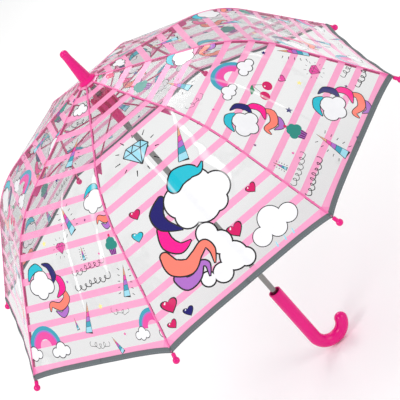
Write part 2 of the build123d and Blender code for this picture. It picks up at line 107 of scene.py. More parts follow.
class Wire:
    """A shader socket that takes part in Python arithmetic."""

    __add__, __radd__ = operator("ADD"), operator("ADD", True)
    __sub__, __rsub__ = operator("SUBTRACT"), operator("SUBTRACT", True)
    __mul__, __pow__ = operator("MULTIPLY"), operator("POWER")

    def __init__(self, board: Board, socket: bpy.types.NodeSocket) -> None:
        """Keep the socket and the board that it is on."""
        self.board, self.socket = board, socket

    def maths(self, operation: str, *values: object) -> Wire:
        """The result of a Math node on numbers or wires."""
        node = self.board.node("ShaderNodeMath", {"operation": operation}, dict(enumerate(values)))
        return Wire(self.board, node.outputs[0])

    def near(self, value: float, reach: float) -> Wire:
        """1 where this is within reach of value, and 0 elsewhere."""
        return self.maths("COMPARE", self, value, reach)

    def below(self, value: float) -> Wire:
        """1 where this is under value, and 0 elsewhere."""
        return self.maths("LESS_THAN", self, value)

    def remainder(self, value: float) -> Wire:
        """What is left of this after whole steps of value."""
        return self.maths("FLOORED_MODULO", self, value)

    def away_from(self, value: float) -> Wire:
        """Distance between this and value."""
        return self.maths("ABSOLUTE", self - value)

    def ease(self, low: float, high: float) -> Wire:
        """A smooth step, clamped.

        Args:
            low: where it starts to rise from 0.
            high: where it reaches 1.

        Returns:
            The step.
        """
        settings = {"interpolation_type": "SMOOTHSTEP"}
        inputs = {"Value": self, "From Min": low, "From Max": high}
        node = self.board.node("ShaderNodeMapRange", settings, inputs)
        return Wire(self.board, node.outputs["Result"])


class Board:
    """One material's nodes, with its Principled shader ready."""

    def __init__(self, name: str) -> None:
        """Make the material and clear its board.

        Args:
            name: the material's name.
        """
        self.material = bpy.data.materials.new(name)
        self.material.use_nodes = True
        self.tree = self.material.node_tree
        self.tree.nodes.clear()
        output = self.node("ShaderNodeOutputMaterial")
        self.shader = self.node("ShaderNodeBsdfPrincipled")
        self.tree.links.new(self.shader.outputs[0], output.inputs["Surface"])

    def node(self, kind: str, settings: dict | None = None, inputs: dict | None = None) -> bpy.types.Node:
        """Add a node.

        Args:
            kind: the node's type.
            settings: its own properties, set first.
            inputs: values or wires for its sockets, by name or number.

        Returns:
            The node.
        """
        node = self.tree.nodes.new(kind)
        for key, value in (settings or {}).items():
            setattr(node, key, value)
        for key, value in (inputs or {}).items():
            self.feed(node, key, value)
        return node

    def feed(self, node: bpy.types.Node, key: str | int, value: object) -> None:
        """Give a socket a value or a wire.

        Args:
            node: the socket's node.
            key: the socket's name or number.
            value: a wire, a number, a vector or a colour, which is made opaque.
        """
        if isinstance(value, Wire):
            self.tree.links.new(value.socket, node.inputs[key])
        elif isinstance(value, tuple) and len(value) == 3 and len(node.inputs[key].default_value) == 4:
            node.inputs[key].default_value = (*value, 1.0)
        else:
            node.inputs[key].default_value = value

    def put(self, **sockets: object) -> None:
        """Set the Principled shader's sockets; an underscore stands for a space."""
        for key, value in sockets.items():
            self.feed(self.shader, key.replace("_", " "), value)

    def place(self) -> Wire:
        """The piece's own coordinates."""
        return Wire(self, self.node("ShaderNodeTexCoord").outputs["Object"])

    def flat(self) -> tuple[Wire, Wire]:
        """Read a piece's flat map.

        Returns:
            Its two coordinates.
        """
        node = self.node("ShaderNodeUVMap", {"uv_map": "flat"})
        parts = self.node("ShaderNodeSeparateXYZ", None, {0: Wire(self, node.outputs[0])})
        return Wire(self, parts.outputs[0]), Wire(self, parts.outputs[1])

    def stretched(self, place: Wire, scale: Triple) -> Wire:
        """Coordinates scaled on each axis, for a pattern that is longer one way."""
        node = self.node("ShaderNodeMapping", None, {"Vector": place, "Scale": scale})
        return Wire(self, node.outputs[0])

    def noise(self, place: Wire, scale: float, detail: float = 2.0, roughness: float = 0.5) -> Wire:
        """A noise pattern's value, about 0 to 1."""
        inputs = {"Vector": place, "Scale": scale, "Detail": detail, "Roughness": roughness}
        return Wire(self, self.node("ShaderNodeTexNoise", None, inputs).outputs[0])

    def blend(self, factor: Wire, first: Colour | Wire, second: Colour | Wire) -> Wire:
        """A colour between two colours."""
        node = self.node("ShaderNodeMix", {"data_type": "RGBA"}, {0: factor, 6: first, 7: second})
        return Wire(self, node.outputs[2])

    def shades(self, factor: Wire, colour: Colour, dark: float, light: float) -> Wire:
        """A colour that wanders between a darker and a lighter share of itself."""
        return self.blend(factor, tinted(colour, dark), tinted(colour, light))

    def bump(self, height: Wire, distance: float, strength: float = 0.5) -> Wire:
        """A bumped normal."""
        inputs = {"Height": height, "Distance": distance, "Strength": strength}
        return Wire(self, self.node("ShaderNodeBump", None, inputs).outputs[0])


def ink(red: int, green: int, blue: int) -> Colour:
    """Screen colour values, 0 to 255, as linear colour."""
    shares = [v / 255 for v in (red, green, blue)]
    return tuple(v / 12.92 if v <= 0.0404 else ((v + 0.055) / 1.055) ** 2.4 for v in shares)


def tinted(colour: Colour, share: float) -> Colour:
    """A colour made lighter (share over 1) or darker (share under 1)."""
    return tuple(min(1.0, c * share) for c in colour)


# ---------------------------------------------------------------- finishes
class Ink(Enum):
    """The inks on the film, as (colour, how much of what is behind they hide)."""

    CLEAR = (ink(92, 98, 100), 0.0)
    STRIPE = (ink(244, 154, 196), 0.93)
    WHITE = (ink(240, 240, 243), 0.95)
    LINE = (ink(10, 6, 14), 0.98)
    THIN = (ink(36, 28, 38), 0.94)
    TURQUOISE = (ink(0, 186, 206), 0.98)
    TEAL = (ink(40, 156, 180), 0.97)
    NAVY = (ink(12, 0, 104), 0.99)
    MAGENTA = (ink(252, 0, 142), 0.99)
    ROSE = (ink(232, 62, 158), 0.97)
    CRIMSON = (ink(210, 0, 96), 0.99)
    CORAL = (ink(252, 124, 106), 0.98)
    LILAC = (ink(172, 104, 196), 0.98)
    SKY = (ink(150, 214, 232), 0.95)
    GREEN = (ink(0, 134, 122), 0.98)
    LEAF = (ink(30, 132, 88), 0.97)
    PURPLE = (ink(108, 0, 106), 0.98)
    YELLOW = (ink(248, 230, 120), 0.88)
    PEACH = (ink(226, 160, 120), 0.96)
    PATCH = (ink(246, 128, 186), 0.90)


@dataclass(frozen=True)
class CreaseHighlight:
    """A painted highlight along a fold crease down a gore: a soft white line that stands in for light caught
    by the crease; each pair is where a smooth step starts and ends.
    """

    centre: float
    wander: float
    width: Point
    start: Point
    stop: Point
    gaps: Point

    def on(self, across: Wire, down: Wire, stray: Wire, broad: Wire) -> Wire:
        """Draw the painted highlight line on the film's flat map.

        Args:
            across: the distance across the gore.
            down: the distance down it.
            stray: noise that the line wanders by.
            broad: noise that breaks the line.

        Returns:
            How strongly the painted highlight shows there, 0 to 1.
        """
        line = 1.0 - (across + stray * self.wander).away_from(self.centre).ease(*self.width)
        return line * down.ease(*self.start) * (1.0 - down.ease(*self.stop)) * broad.ease(*self.gaps)


@dataclass(frozen=True)
class PrintedFilm:
    """Clear film with one ink on it, faintly creased from being folded; white is painted along the creases as
    a highlight and in broad patches as sheen.
    """

    ink: Ink
    haze: float = 0.255
    edge_haze: float = 0.30
    crease_highlight_strength: float = 0.55
    sheen: float = 0.20
    clear_gloss: float = 0.8
    ink_gloss: float = 0.34
    # fold and bend are painted highlight lines along two creases.
    fold: CreaseHighlight = CreaseHighlight(0.0, 0.006, (0.0004, 0.0030), (0.14, 0.19), (0.27, 0.33), (0.36, 0.56))
    bend: CreaseHighlight = CreaseHighlight(0.055, 0.036, (0.0006, 0.0060), (0.13, 0.17), (0.24, 0.29), (0.42, 0.60))

    def material(self) -> bpy.types.Material:
        """Build the material.

        Returns:
            The film's material, whose patterns follow the flat cut of the gore.
        """
        colour, cover = self.ink.value
        board = Board(f"film_{self.ink.name.lower()}")
        across, down = board.flat()
        place = board.place()
        broad = board.noise(board.stretched(place, (1.0, 1.0, 0.6)), 16.0, 3.0, 0.55)
        fine = board.noise(place, 120.0)
        stray = board.noise(place, 22.0) - 0.5
        # Painted highlight along the creases and painted sheen in broad patches: white mixed into the colour,
        # standing in for light the film catches.
        crease_highlight = self.fold.on(across, down, stray, broad) + self.bend.on(across, down, stray, broad)
        sheen = broad.ease(0.58, 0.74) * self.sheen
        if self.ink is Ink.CLEAR:
            # white is the painted highlight and sheen; it lightens the film's colour and makes it less
            # see-through.
            white = crease_highlight * self.crease_highlight_strength + sheen
            facing = board.node("ShaderNodeLayerWeight", None, {"Blend": 0.35}).outputs["Facing"]
            edge = Wire(board, facing) ** 3.0
            board.put(Alpha=self.haze + white + edge * self.edge_haze)
            board.put(Base_Color=board.blend((white * 2.5).ease(0.0, 1.0), colour, WHITE))
            board.put(Specular_IOR_Level=self.clear_gloss)
        else:
            shade = board.shades(fine, colour, 0.96, 1.03)
            # The painted highlight and painted sheen lighten the ink towards white.
            board.put(Base_Color=board.blend(crease_highlight * 0.40 + sheen * 0.25, shade, WHITE))
            board.put(Alpha=cover, Specular_IOR_Level=self.ink_gloss)
        board.put(Roughness=0.10 + fine * 0.10, IOR=1.5)
        board.put(Normal=board.bump(broad * 0.8 + fine * 0.04, 0.004, 0.55))
        return board.material


@dataclass(frozen=True)
class MouldedPlastic:
    """Glossy injection-moulded plastic, with faint flow marks under its gloss."""

    name: str
    colour: Colour
    roughness: float = 0.16
    opacity: float = 1.0

    def material(self) -> bpy.types.Material:
        """Build the material.

        Returns:
            The plastic's material.
        """
        board = Board(self.name)
        place = board.place()
        flow = board.noise(board.stretched(place, (1.0, 1.0, 0.25)), 55.0, 3.0)
        grain = board.noise(place, 900.0)
        board.put(Base_Color=board.shades(flow, self.colour, 0.88, 1.04))
        board.put(Roughness=self.roughness + flow * 0.08 + grain * 0.04)
        board.put(Normal=board.bump(flow * 0.6 + grain * 0.15, 0.0004))
        board.put(IOR=1.49, Specular_IOR_Level=0.36, Alpha=self.opacity)
        board.put(Coat_Weight=0.06, Coat_Roughness=0.05)
        return board.material


@dataclass(frozen=True)
class DrawnMetal:
    """Drawn or ground steel, with fine lines along one axis."""

    name: str
    colour: Colour
    roughness: float = 0.26
    lines: Triple = (900.0, 900.0, 22.0)

    def material(self) -> bpy.types.Material:
        """Build the material.

        Returns:
            The metal's material.
        """
        board = Board(self.name)
        place = board.place()
        lines = board.noise(board.stretched(place, self.lines), 1.0, 3.0)
        smudge = board.noise(place, 45.0)
        board.put(Base_Color=board.shades(smudge, self.colour, 0.86, 1.08), Normal=board.bump(lines, 0.00015))
        board.put(Metallic=0.95, Roughness=self.roughness + lines * 0.12 + smudge.ease(0.5, 0.8) * 0.08)
        return board.material


@dataclass(frozen=True)
class CoatedWire:
    """Spring wire under a baked pink coat, a little uneven, as dipped wire is."""

    name: str
    colour: Colour

    def material(self) -> bpy.types.Material:
        """Build the material.

        Returns:
            The wire's material.
        """
        board = Board(self.name)
        place = board.place()
        dip, speck = board.noise(place, 130.0), board.noise(place, 1400.0, 1.0)
        board.put(Base_Color=board.shades(dip, self.colour, 0.84, 1.10))
        board.put(Roughness=0.30 + speck * 0.14, Coat_Weight=0.2, IOR=1.5)
        board.put(Normal=board.bump(dip * 0.7 + speck * 0.2, 0.0003))
        return board.material


@dataclass(frozen=True)
class ReflectiveTape:
    """Woven grey hem tape with a beaded face and one row of lock stitches."""

    name: str = "hem_tape"
    colour: Colour = ink(100, 107, 111)
    weave_pitch: float = 0.0009
    stitch_pitch: float = 0.0032
    stitch_line: float = 0.0016
    stitch_width: float = 0.00026

    def material(self) -> bpy.types.Material:
        """Build the material.

        Returns:
            The tape's material; its flat map is (along the hem, up from the edge).
        """
        board = Board(self.name)
        along, up = board.flat()
        place = board.place()
        bead, cloudy = board.noise(place, 1600.0, 1.0), board.noise(place, 30.0)
        over, under = (way.remainder(self.weave_pitch).below(self.weave_pitch / 2) for way in (along, up))
        stitch = along.remainder(self.stitch_pitch).below(self.stitch_pitch * 0.68)
        stitch = stitch * up.near(self.stitch_line, self.stitch_width)
        shade = board.shades(cloudy * 0.7 + bead * 0.3, self.colour, 0.82, 1.12)
        board.put(Base_Color=board.blend(stitch, shade, tinted(self.colour, 1.55)))
        board.put(Roughness=0.50 + bead * 0.2, Metallic=0.10)
        board.put(Normal=board.bump((over + under) * 0.2 + stitch + bead * 0.2, 0.00018, 0.7))
        return board.material


@dataclass(frozen=True)
class SewingThread:
    """Twisted pink thread."""

    name: str = "sewing_thread"
    colour: Colour = ink(240, 92, 160)

    def material(self) -> bpy.types.Material:
        """Build the material.

        Returns:
            The thread's material.
        """
        board = Board(self.name)
        twist = board.noise(board.stretched(board.place(), (1.0, 1.0, 2.5)), 1500.0)
        board.put(Base_Color=board.shades(twist, self.colour, 0.7, 1.15))
        board.put(Roughness=0.62 + twist * 0.2, Normal=board.bump(twist, 0.0002, 0.8))
        return board.material


# ---------------------------------------------------------------- drawn motifs
Shape = tuple[Ink, list[Point]]


@dataclass(frozen=True)
class Spot:
    """Where a motif goes on a gore: its middle, its turn in degrees clockwise, and its size."""

    x: float
    y: float
    turn: float = 0.0
    size: float = 1.0

    def put(self, shapes: Iterable[Shape]) -> list[Shape]:
        """Move a motif's shapes to this spot.

        Args:
            shapes: the shapes, round the origin.

        Returns:
            The moved shapes.
        """
        turn = math.radians(self.turn)
        c, s = math.cos(turn) * self.size, math.sin(turn) * self.size
        moved = []
        for tone, ring in shapes:
            moved.append((tone, [(self.x + c * x - s * y, self.y + s * x + c * y) for x, y in ring]))
        return moved


def lay(*motifs: tuple) -> list[Shape]:
    """Lay motifs on a gore, each given as its shapes and then its spot's values."""
    return [shape for shapes, *spot in motifs for shape in Spot(*spot).put(shapes)]


def anticlockwise(ring: Sequence[Point]) -> list[Point]:
    """A ring's points, turned to run anticlockwise."""
    twice = sum(x * v - u * y for (x, y), (u, v) in zip(ring, [*ring[1:], ring[0]]))
    return list(ring) if twice > 0 else list(reversed(ring))


def arc(radius: float, start: float, sweep: float, steps: int) -> list[Point]:
    """Points along an arc round the origin, with angles in radians."""
    turns = [start + sweep * i / steps for i in range(steps + 1)]
    return [(radius * math.cos(t), radius * math.sin(t)) for t in turns]


def disc(tone: Ink, x: float, y: float, radius: float, steps: int = 20) -> Shape:
    """A round spot of ink."""
    turns = [2 * math.pi * i / steps for i in range(steps)]
    return tone, [(x + radius * math.cos(t), y + radius * math.sin(t)) for t in turns]


def band(tone: Ink, top: float, bottom: float, reach: float) -> Shape:
    """A straight band of ink across the middle line."""
    return tone, [(-reach, top), (reach, top), (reach, bottom), (-reach, bottom)]


def smooth(points: Sequence[Point], steps: int = 6) -> list[Point]:
    """A smooth open line through points.

    Args:
        points: the points it passes.
        steps: how many parts each run gets.

    Returns:
        The line's points.
    """
    def between(p: float, q: float, r: float, s: float, t: float) -> float:
        """A share t of the way from q to r, with p before them and s after them."""
        square, cube = 2 * p - 5 * q + 4 * r - s, 3 * q - p - 3 * r + s
        return 0.5 * (2 * q + (r - p) * t + square * t * t + cube * t**3)

    ends = [points[0], *points, points[-1]]
    line = []
    for run in zip(ends, ends[1:], ends[2:], ends[3:]):
        line += [tuple(between(*values, i / steps) for values in zip(*run)) for i in range(steps)]
    return [*line, points[-1]]


def stroke(tone: Ink, points: Sequence[Point], widths: Sequence[float], extra: float = 0.0) -> Shape:
    """A line of ink that follows points and swells and tapers.

    Args:
        tone: its ink.
        points: its middle line.
        widths: its width at points spread evenly along it.
        extra: added to every width, for an outline under it.

    Returns:
        The stroke's outline.
    """
    middle = np.array(points, float)
    ahead = np.gradient(middle, axis=0)
    ahead /= np.maximum(np.linalg.norm(ahead, axis=1, keepdims=True), 1e-9)
    if extra:
        middle[0] -= ahead[0] * extra / 2
        middle[-1] += ahead[-1] * extra / 2
    places = np.linspace(0, 1, len(points))
    half = (np.interp(places, np.linspace(0, 1, len(widths)), widths) + extra) / 2
    side = np.stack([-ahead[:, 1], ahead[:, 0]], axis=1) * half[:, None]
    return tone, [tuple(p) for p in (*(middle + side), *(middle - side)[::-1])]


def swoosh(tone: Ink, points: Sequence[Point], widths: Sequence[float], line: float) -> list[Shape]:
    """A curved ribbon with a dark outline.

    Args:
        tone: its ink.
        points: its middle line.
        widths: its width at points spread evenly along it, outline and all.
        line: the outline's width.

    Returns:
        Its shapes.
    """
    path = smooth(points, 8)
    x, y = path[0]
    start = widths[0] / 2
    dark = [stroke(Ink.LINE, path, widths, line), disc(Ink.LINE, x, y, start + line / 2, 26)]
    inside = [max(width - line, 0.2) for width in widths]
    return dark + [stroke(tone, path, inside), disc(tone, x, y, max(start - line / 2, 0.1), 26)]


def ray_ring(reach: float, length: float, width: float, count: int = 11, first: float = 15.0) -> list[Shape]:
    """Short rays all round a motif.

    Args:
        reach: how far from its middle they start.
        length: how long the longer ones are.
        width: the pen's width.
        count: how many there are.
        first: the first one's direction, in degrees.

    Returns:
        The rays.
    """
    found = []
    for i in range(count):
        t = math.radians(first + 360 * i / count)
        far = reach + length * (1.0 if i % 2 else 0.7)
        ends = [(r * math.cos(t), r * math.sin(t)) for r in (reach, far)]
        found.append(stroke(Ink.LINE, ends, [width, width * 0.6]))
    return found


def cloud(lobes: Sequence[Triple], line: float, tone: Ink = Ink.LINE) -> list[Shape]:
    """An outlined white cloud of round lobes (x, y, radius)."""
    dark = [disc(tone, x, y, r + line / 2, 28) for x, y, r in lobes]
    return dark + [disc(Ink.WHITE, x, y, r - line / 2, 28) for x, y, r in lobes]


def small_cloud() -> list[Shape]:
    """The cloud at a rainbow's foot."""
    return cloud([(-8, 2, 5.2), (0, -2, 6.4), (7.5, 2, 5.0), (0, 4, 5)], 1.1, Ink.THIN)


def rainbow() -> list[Shape]:
    """Draw a three-band arch between two clouds.

    Returns:
        Its shapes.
    """
    shapes = []
    for tone, outer, inner in ((Ink.TEAL, 26, 20.6), (Ink.LILAC, 20.6, 18.6), (Ink.ROSE, 18.6, 9.6)):
        shapes.append((tone, arc(outer, math.pi, math.pi, 24) + arc(inner, math.pi, math.pi, 24)[::-1]))
    return shapes + lay((small_cloud(), -23, 5, 0, 1.05), (small_cloud(), 23, 7, 0, 1.15))


def star(tone: Ink, radius: float) -> list[Shape]:
    """A five-pointed star."""
    reaches = [(radius if i % 2 == 0 else radius * 0.45, math.radians(36 * i - 90)) for i in range(10)]
    return [(tone, [(r * math.cos(t), r * math.sin(t)) for r, t in reaches])]


def heart(tone: Ink, size: float) -> list[Shape]:
    """A heart with a dark outline and a white glint.

    Args:
        tone: its ink.
        size: half its width.

    Returns:
        Its shapes.
    """
    def ring(scale: float) -> list[Point]:
        """The heart's outline at a scale."""
        return [(scale * math.sin(t) ** 3, -scale * up) for t, up in zip(turns, tall)]

    turns = [2 * math.pi * i / 26 for i in range(26)]
    tall = [(13 * math.cos(t) - 5 * math.cos(2 * t) - 2 * math.cos(3 * t)) / 16 for t in turns]
    ends = [(-size * 0.55, -size * 0.30), (-size * 0.35, -size * 0.55)]
    glint = stroke(Ink.WHITE, ends, [size * 0.2, size * 0.12])
    return [(Ink.LINE, ring(size * 1.10)), (tone, ring(size * 0.92)), glint]


def cherries() -> list[Shape]:
    """Draw two cherries on their stems, with a leaf.

    Returns:
        Their shapes.
    """
    bends = ([(-2, -8), (-4, 0)], [(7, -9), (11, -3)])
    stems = [stroke(Ink.THIN, smooth([(1, -17), *bend]), [0.6]) for bend in bends]
    leaf = stroke(Ink.LEAF, smooth([(1, -17), (-6, -14), (-13, -12)]), [0.6, 6.5, 0.4])
    fruit = [disc(Ink.CRIMSON, -5, 3, 6.6), disc(Ink.CRIMSON, 11, 0, 6.6)]
    glints = [disc(Ink.WHITE, -7.4, 0.4, 1.0, 10), disc(Ink.WHITE, 8.6, -2.4, 1.0, 10)]
    return [*stems, leaf, *fruit, *glints]


def cupcake() -> list[Shape]:
    """Draw a small cake in a pleated cup, with a cherry.

    Returns:
        Its shapes.
    """
    puffs = ((-6.5, 0, 5.4), (6.5, 0, 5.4), (0, 0.5, 6), (-3.5, -6, 4.6), (4, -6, 4.8), (0, -9, 3.6))
    cup = (Ink.PURPLE, [(-7.5, 4), (7.5, 4), (5.6, 13.5), (-5.6, 13.5)])
    pleats = []
    for x in (-4.6, -0.6, 3.4):
        pleats.append((Ink.LILAC, [(x, 4.4), (x + 1.1, 4.4), (x * 0.75 + 0.8, 13.2), (x * 0.75, 13.2)]))
    return [cup, *pleats, *(disc(Ink.GREEN, *puff) for puff in puffs), disc(Ink.CRIMSON, 0, -14, 2.2, 14)]


def cone(length: float, rays: bool = True) -> list[Shape]:
    """A slim striped cone, point up.

    Args:
        length: its height.
        rays: whether short rays stand beside it.

    Returns:
        Its shapes.
    """
    half, foot = length / 2, length * 0.135
    pen, tilt = 0.45 + length * 0.012, length * 0.025
    shapes = [(Ink.LINE, [(0, -half - 3 * pen), (foot + pen, half + pen), (-foot - pen, half + pen)])]
    tones = (Ink.PEACH, Ink.ROSE, Ink.LILAC, Ink.TEAL, Ink.SKY)
    cuts = (0.0, 0.30, 0.46, 0.62, 0.80, 1.0)
    for tone, a, b in zip(tones, cuts, cuts[1:]):
        above = [(-foot * a, length * a - half + tilt), (foot * a, length * a - half - tilt)]
        below = [(foot * b, length * b - half - tilt), (-foot * b, length * b - half + tilt)]
        shapes += [(tone, above + below), stroke(Ink.LINE, below[::-1], [pen * 0.9])]
    for side in (-1, 1) if rays else ():
        for i in range(5):
            x, y = side * (foot * (0.5 + 0.12 * i) + length * 0.13), -half * 0.75 + i * length * 0.19
            end = (x + side * length * 0.10, y - length * (0.05 - 0.025 * i))
            shapes.append(stroke(Ink.LINE, [(x, y), end], [1.0, 0.7]))
    return shapes


def gem(tone: Ink, size: float, line: float) -> list[Shape]:
    """A cut stone, table up, with its facet lines and rays.

    Args:
        tone: its ink.
        size: half its width.
        line: the pen's width.

    Returns:
        Its shapes.
    """
    def at(*places: Point) -> list[Point]:
        """Points of the stone, given in shares of its half width."""
        return [(x * size, y * size) for x, y in places]

    left, right, point = (-1, -0.2), (1, -0.2), (0, 1)
    corners, inner = ((-0.58, -0.74), (0.58, -0.74)), ((-0.36, -0.2), (0.36, -0.2))
    rim = at(*corners, right, point, left)
    table = at(corners[0], inner[0], (0, -0.74), inner[1], corners[1])
    pen = Ink.LINE if line > 0.6 else Ink.THIN
    facets = [[*rim, rim[0]], at(left, right), table, at(inner[0], point, inner[1])]
    lines = [stroke(pen, [a, b], [line]) for path in facets for a, b in zip(path, path[1:])]
    return [(tone, rim), *lines, *ray_ring(size * 1.32, size * 0.42, line * 1.2)]


def curl_line(length: float, width: float, loop: float = 8.5, part: int = 5) -> list[Shape]:
    """A looping pen line.

    Args:
        length: how far it runs.
        width: the pen's width.
        loop: the length of line that one loop takes.
        part: how many runs of the line each stroke takes, so that no stroke crosses itself.

    Returns:
        Its strokes.
    """
    loops = max(2, round(length / loop))
    steps = loops * 16
    path = []
    for i in range(steps + 1):
        t = i / steps
        phase = 2 * math.pi * loops * t
        tall = 3.0 + 1.6 * math.sin(2.6 * phase / loops * 2 + 1)
        path.append((length * (t - 0.5) - 3.4 * math.sin(phase), -tall * math.cos(phase)))
    runs = [path[i:i + part + 1] for i in range(0, steps, part)]
    return [stroke(Ink.LINE, run, [width]) for run in runs if len(run) > 1]


def ribbon_cloud() -> list[Shape]:
    """Draw a small outlined cloud that trails five coloured ribbons.

    Returns:
        Its shapes.
    """
    shapes = []
    for tone, points, widths in (
        (Ink.LILAC, [(8, 28), (16, 33), (23, 27), (20, 19)], [1, 7, 7, 2]),
        (Ink.CORAL, [(24, 6), (27, 17), (16, 24), (4, 20), (0, 27)], [3, 9, 9, 6, 1]),
        (Ink.MAGENTA, [(14, -12), (24, -4), (25, 6), (15, 14)], [1, 8, 9, 1]),
        (Ink.NAVY, [(6, -24), (15, -20), (18, -10), (13, -1)], [1, 7, 8, 1]),
    ):
        shapes += swoosh(tone, points, widths, 1.0)
    shapes += cloud([(-12, -2, 9), (-2, -8, 11), (7, 0, 8), (-4, 4, 9)], 1.2, Ink.THIN)
    return shapes + swoosh(Ink.TURQUOISE, [(-20, -10), (-13, -19), (-4, -22), (4, -18)], [1, 8, 9, 2], 1.0)


@dataclass(frozen=True)
class FrontArtwork:
    """The large design of the front gore: a cloud with flowing ribbons, a striped cone, a gem and hearts."""

    line: float = 1.9

    def shapes(self) -> list[Shape]:
        """Draw it.

        Returns:
            Its shapes, later ones over earlier ones.
        """
        lower = [(6, 338, 17), (-16, 345, 12), (16, 348, 11), (4, 316, 14), (-2, 298, 13), (-34, 340, 9)]
        upper = [(-2, 250, 20), (22, 246, 22), (42, 262, 17), (16, 268, 22), (-6, 268, 15), (32, 276, 13)]
        ribbons = (
            (Ink.LILAC, [(-60, 318), (-56, 328), (-42, 329), (-30, 321), (-24, 326), (-30, 338)],
             [13, 16, 11, 8, 7, 1]),
            (Ink.CORAL, [(-57, 288), (-56, 304), (-42, 314), (-26, 309), (-12, 305), (-9, 316), (-16, 330)],
             [12, 20, 19, 12, 10, 8, 1]),
            (Ink.MAGENTA, [(-40, 262), (-44, 278), (-36, 291), (-21, 292)], [12, 17, 13, 1]),
            (Ink.NAVY, [(-18, 233), (-33, 244), (-34, 258), (-20, 276)], [8, 17, 15, 1]),
        )
        crest = [(4, 231), (14, 226), (28, 229), (38, 235), (47, 230)]
        puffs = cloud([(-9, 2, 5), (0, -2, 6.6), (8.5, 2, 5), (0, 3.5, 5)], 0.45)
        drop = [stroke(Ink.SKY, [(0, -3.5), (0, 3.5)], [0.6, 3.6, 2.4])]
        found = lay(
            (gem(Ink.SKY, 18, 1.3), -5, 166, 9), (cone(44, False), 42, 195, 27),
            (heart(Ink.CRIMSON, 6.6), -52, 227, 14), (heart(Ink.TURQUOISE, 6.6), -66, 249, 26),
            (heart(Ink.CRIMSON, 6.4), 71, 291, -6), (heart(Ink.CRIMSON, 9.4), 26, 316, 6),
            (heart(Ink.CRIMSON, 9.6), -88, 334, 14), (heart(Ink.CRIMSON, 5.8), -99, 353, -4),
            (heart(Ink.NAVY, 6.2), -75, 353, 10),
        )
        found += cloud(lower, self.line)
        for tone, points, widths in ribbons:
            found += swoosh(tone, points, widths, self.line)
        found += cloud(upper, self.line) + swoosh(Ink.TURQUOISE, crest, [17, 22, 17, 8, 1], self.line)
        return found + lay((puffs, 65, 337, -4, 2.3), *((drop, x, 360, 12) for x in (52, 64, 76)))


class Cut(Enum):
    """The two cuts of the all-over design, by where the rainbow is."""

    LOW_RAINBOW = 1
    MIDDLE_RAINBOW = 2


@dataclass(frozen=True)
class SmallArtwork:
    """The all-over design of the other gores."""

    cut: Cut
    down: float = 0.0

    def shapes(self) -> list[Shape]:
        """Draw it.

        Returns:
            Its shapes, later ones over earlier ones.
        """
        found = self._low_rainbow() if self.cut is Cut.LOW_RAINBOW else self._middle_rainbow()
        return Spot(0, self.down).put(found)

    def _low_rainbow(self) -> list[Shape]:
        """Draw the cut with rainbows at the hem.

        Returns:
            Its shapes.
        """
        return lay(
            (small_cloud(), 4, 46), (curl_line(28, 0.9), 8, 66, -6), (cone(38), 7, 108, 10),
            (star(Ink.NAVY, 3.2), -14, 141), (ribbon_cloud(), 60, 186, 0, 0.95), (cone(38), 8, 196, -27),
            (gem(Ink.ROSE, 8, 0.5), -10, 227), (star(Ink.YELLOW, 4), -37, 217), (cone(15), 24, 241),
            (cupcake(), 75, 240, 0, 0.85), (ribbon_cloud(), -57, 268, 0, 1.15),
            (curl_line(56, 0.8), 26, 258, -8), (curl_line(62, 1.1), 27, 277, -6), (cone(36), 80, 285, 12),
            (cone(36, False), 1, 317, 15), (rainbow(), -83, 340, 0, 1.02), (rainbow(), 104, 344, 0, 0.9),
            (cone(14, False), -21, 321, -8), (curl_line(26, 0.5), 57, 318, 10),
            (star(Ink.YELLOW, 4), 26, 307), (star(Ink.ROSE, 2.2), 50, 246),
            (star(Ink.LILAC, 2.4), -17, 269), (star(Ink.NAVY, 3.2), -8, 371),
            (star(Ink.PURPLE, 2.2), 40, 203), (star(Ink.ROSE, 2.2), 54, 345),
            (cone(22, False), 38, 356, -30), (curl_line(30, 0.6), 8, 352, 8),
        )

    def _middle_rainbow(self) -> list[Shape]:
        """Draw the cut with a rainbow across its middle.

        Returns:
            Its shapes.
        """
        return lay(
            (cherries(), 8, 32, 0, 0.8), (star(Ink.NAVY, 4), 8, 70), (cupcake(), -17, 90, 0, 0.95),
            (ribbon_cloud(), 40, 128, 0, 0.95), (cone(36), -16, 141, 14),
            (curl_line(26, 0.5), -42, 174, 20), (rainbow(), 10, 201, 2),
            (ribbon_cloud(), -47, 244, 0, 1.1), (cherries(), 8, 244), (heart(Ink.ROSE, 5), 39, 256),
            (star(Ink.YELLOW, 4), 45, 277), (star(Ink.NAVY, 5), -1, 280), (star(Ink.NAVY, 3.4), 64, 222),
            (cone(38), 86, 254, -28), (gem(Ink.ROSE, 8, 0.5), 74, 287), (cupcake(), -27, 298),
            (ribbon_cloud(), 36, 330, 0, 1.12), (cone(42), -21, 344, 12),
            (curl_line(50, 0.8), -78, 320, -6), (curl_line(58, 1.1), -78, 340, -5),
            (curl_line(30, 0.8), 100, 322, -3), (curl_line(34, 1.1), 98, 343, -3), (cone(16), -86, 299),
            (star(Ink.PURPLE, 2.4), -74, 262), (star(Ink.ROSE, 2.4), -59, 306),
            (star(Ink.PURPLE, 2.6), 72, 330), (star(Ink.ROSE, 2.4), -48, 199),
            (star(Ink.NAVY, 3.0), 6, 368),
        )


ARTWORK = {
    7: FrontArtwork(),
    8: SmallArtwork(Cut.MIDDLE_RAINBOW),
    1: SmallArtwork(Cut.LOW_RAINBOW),
    2: SmallArtwork(Cut.MIDDLE_RAINBOW, -22.0),
    3: SmallArtwork(Cut.LOW_RAINBOW, -14.0),
    4: SmallArtwork(Cut.MIDDLE_RAINBOW, 8.0),
    5: SmallArtwork(Cut.MIDDLE_RAINBOW, -40.0),
    6: SmallArtwork(Cut.LOW_RAINBOW),
}


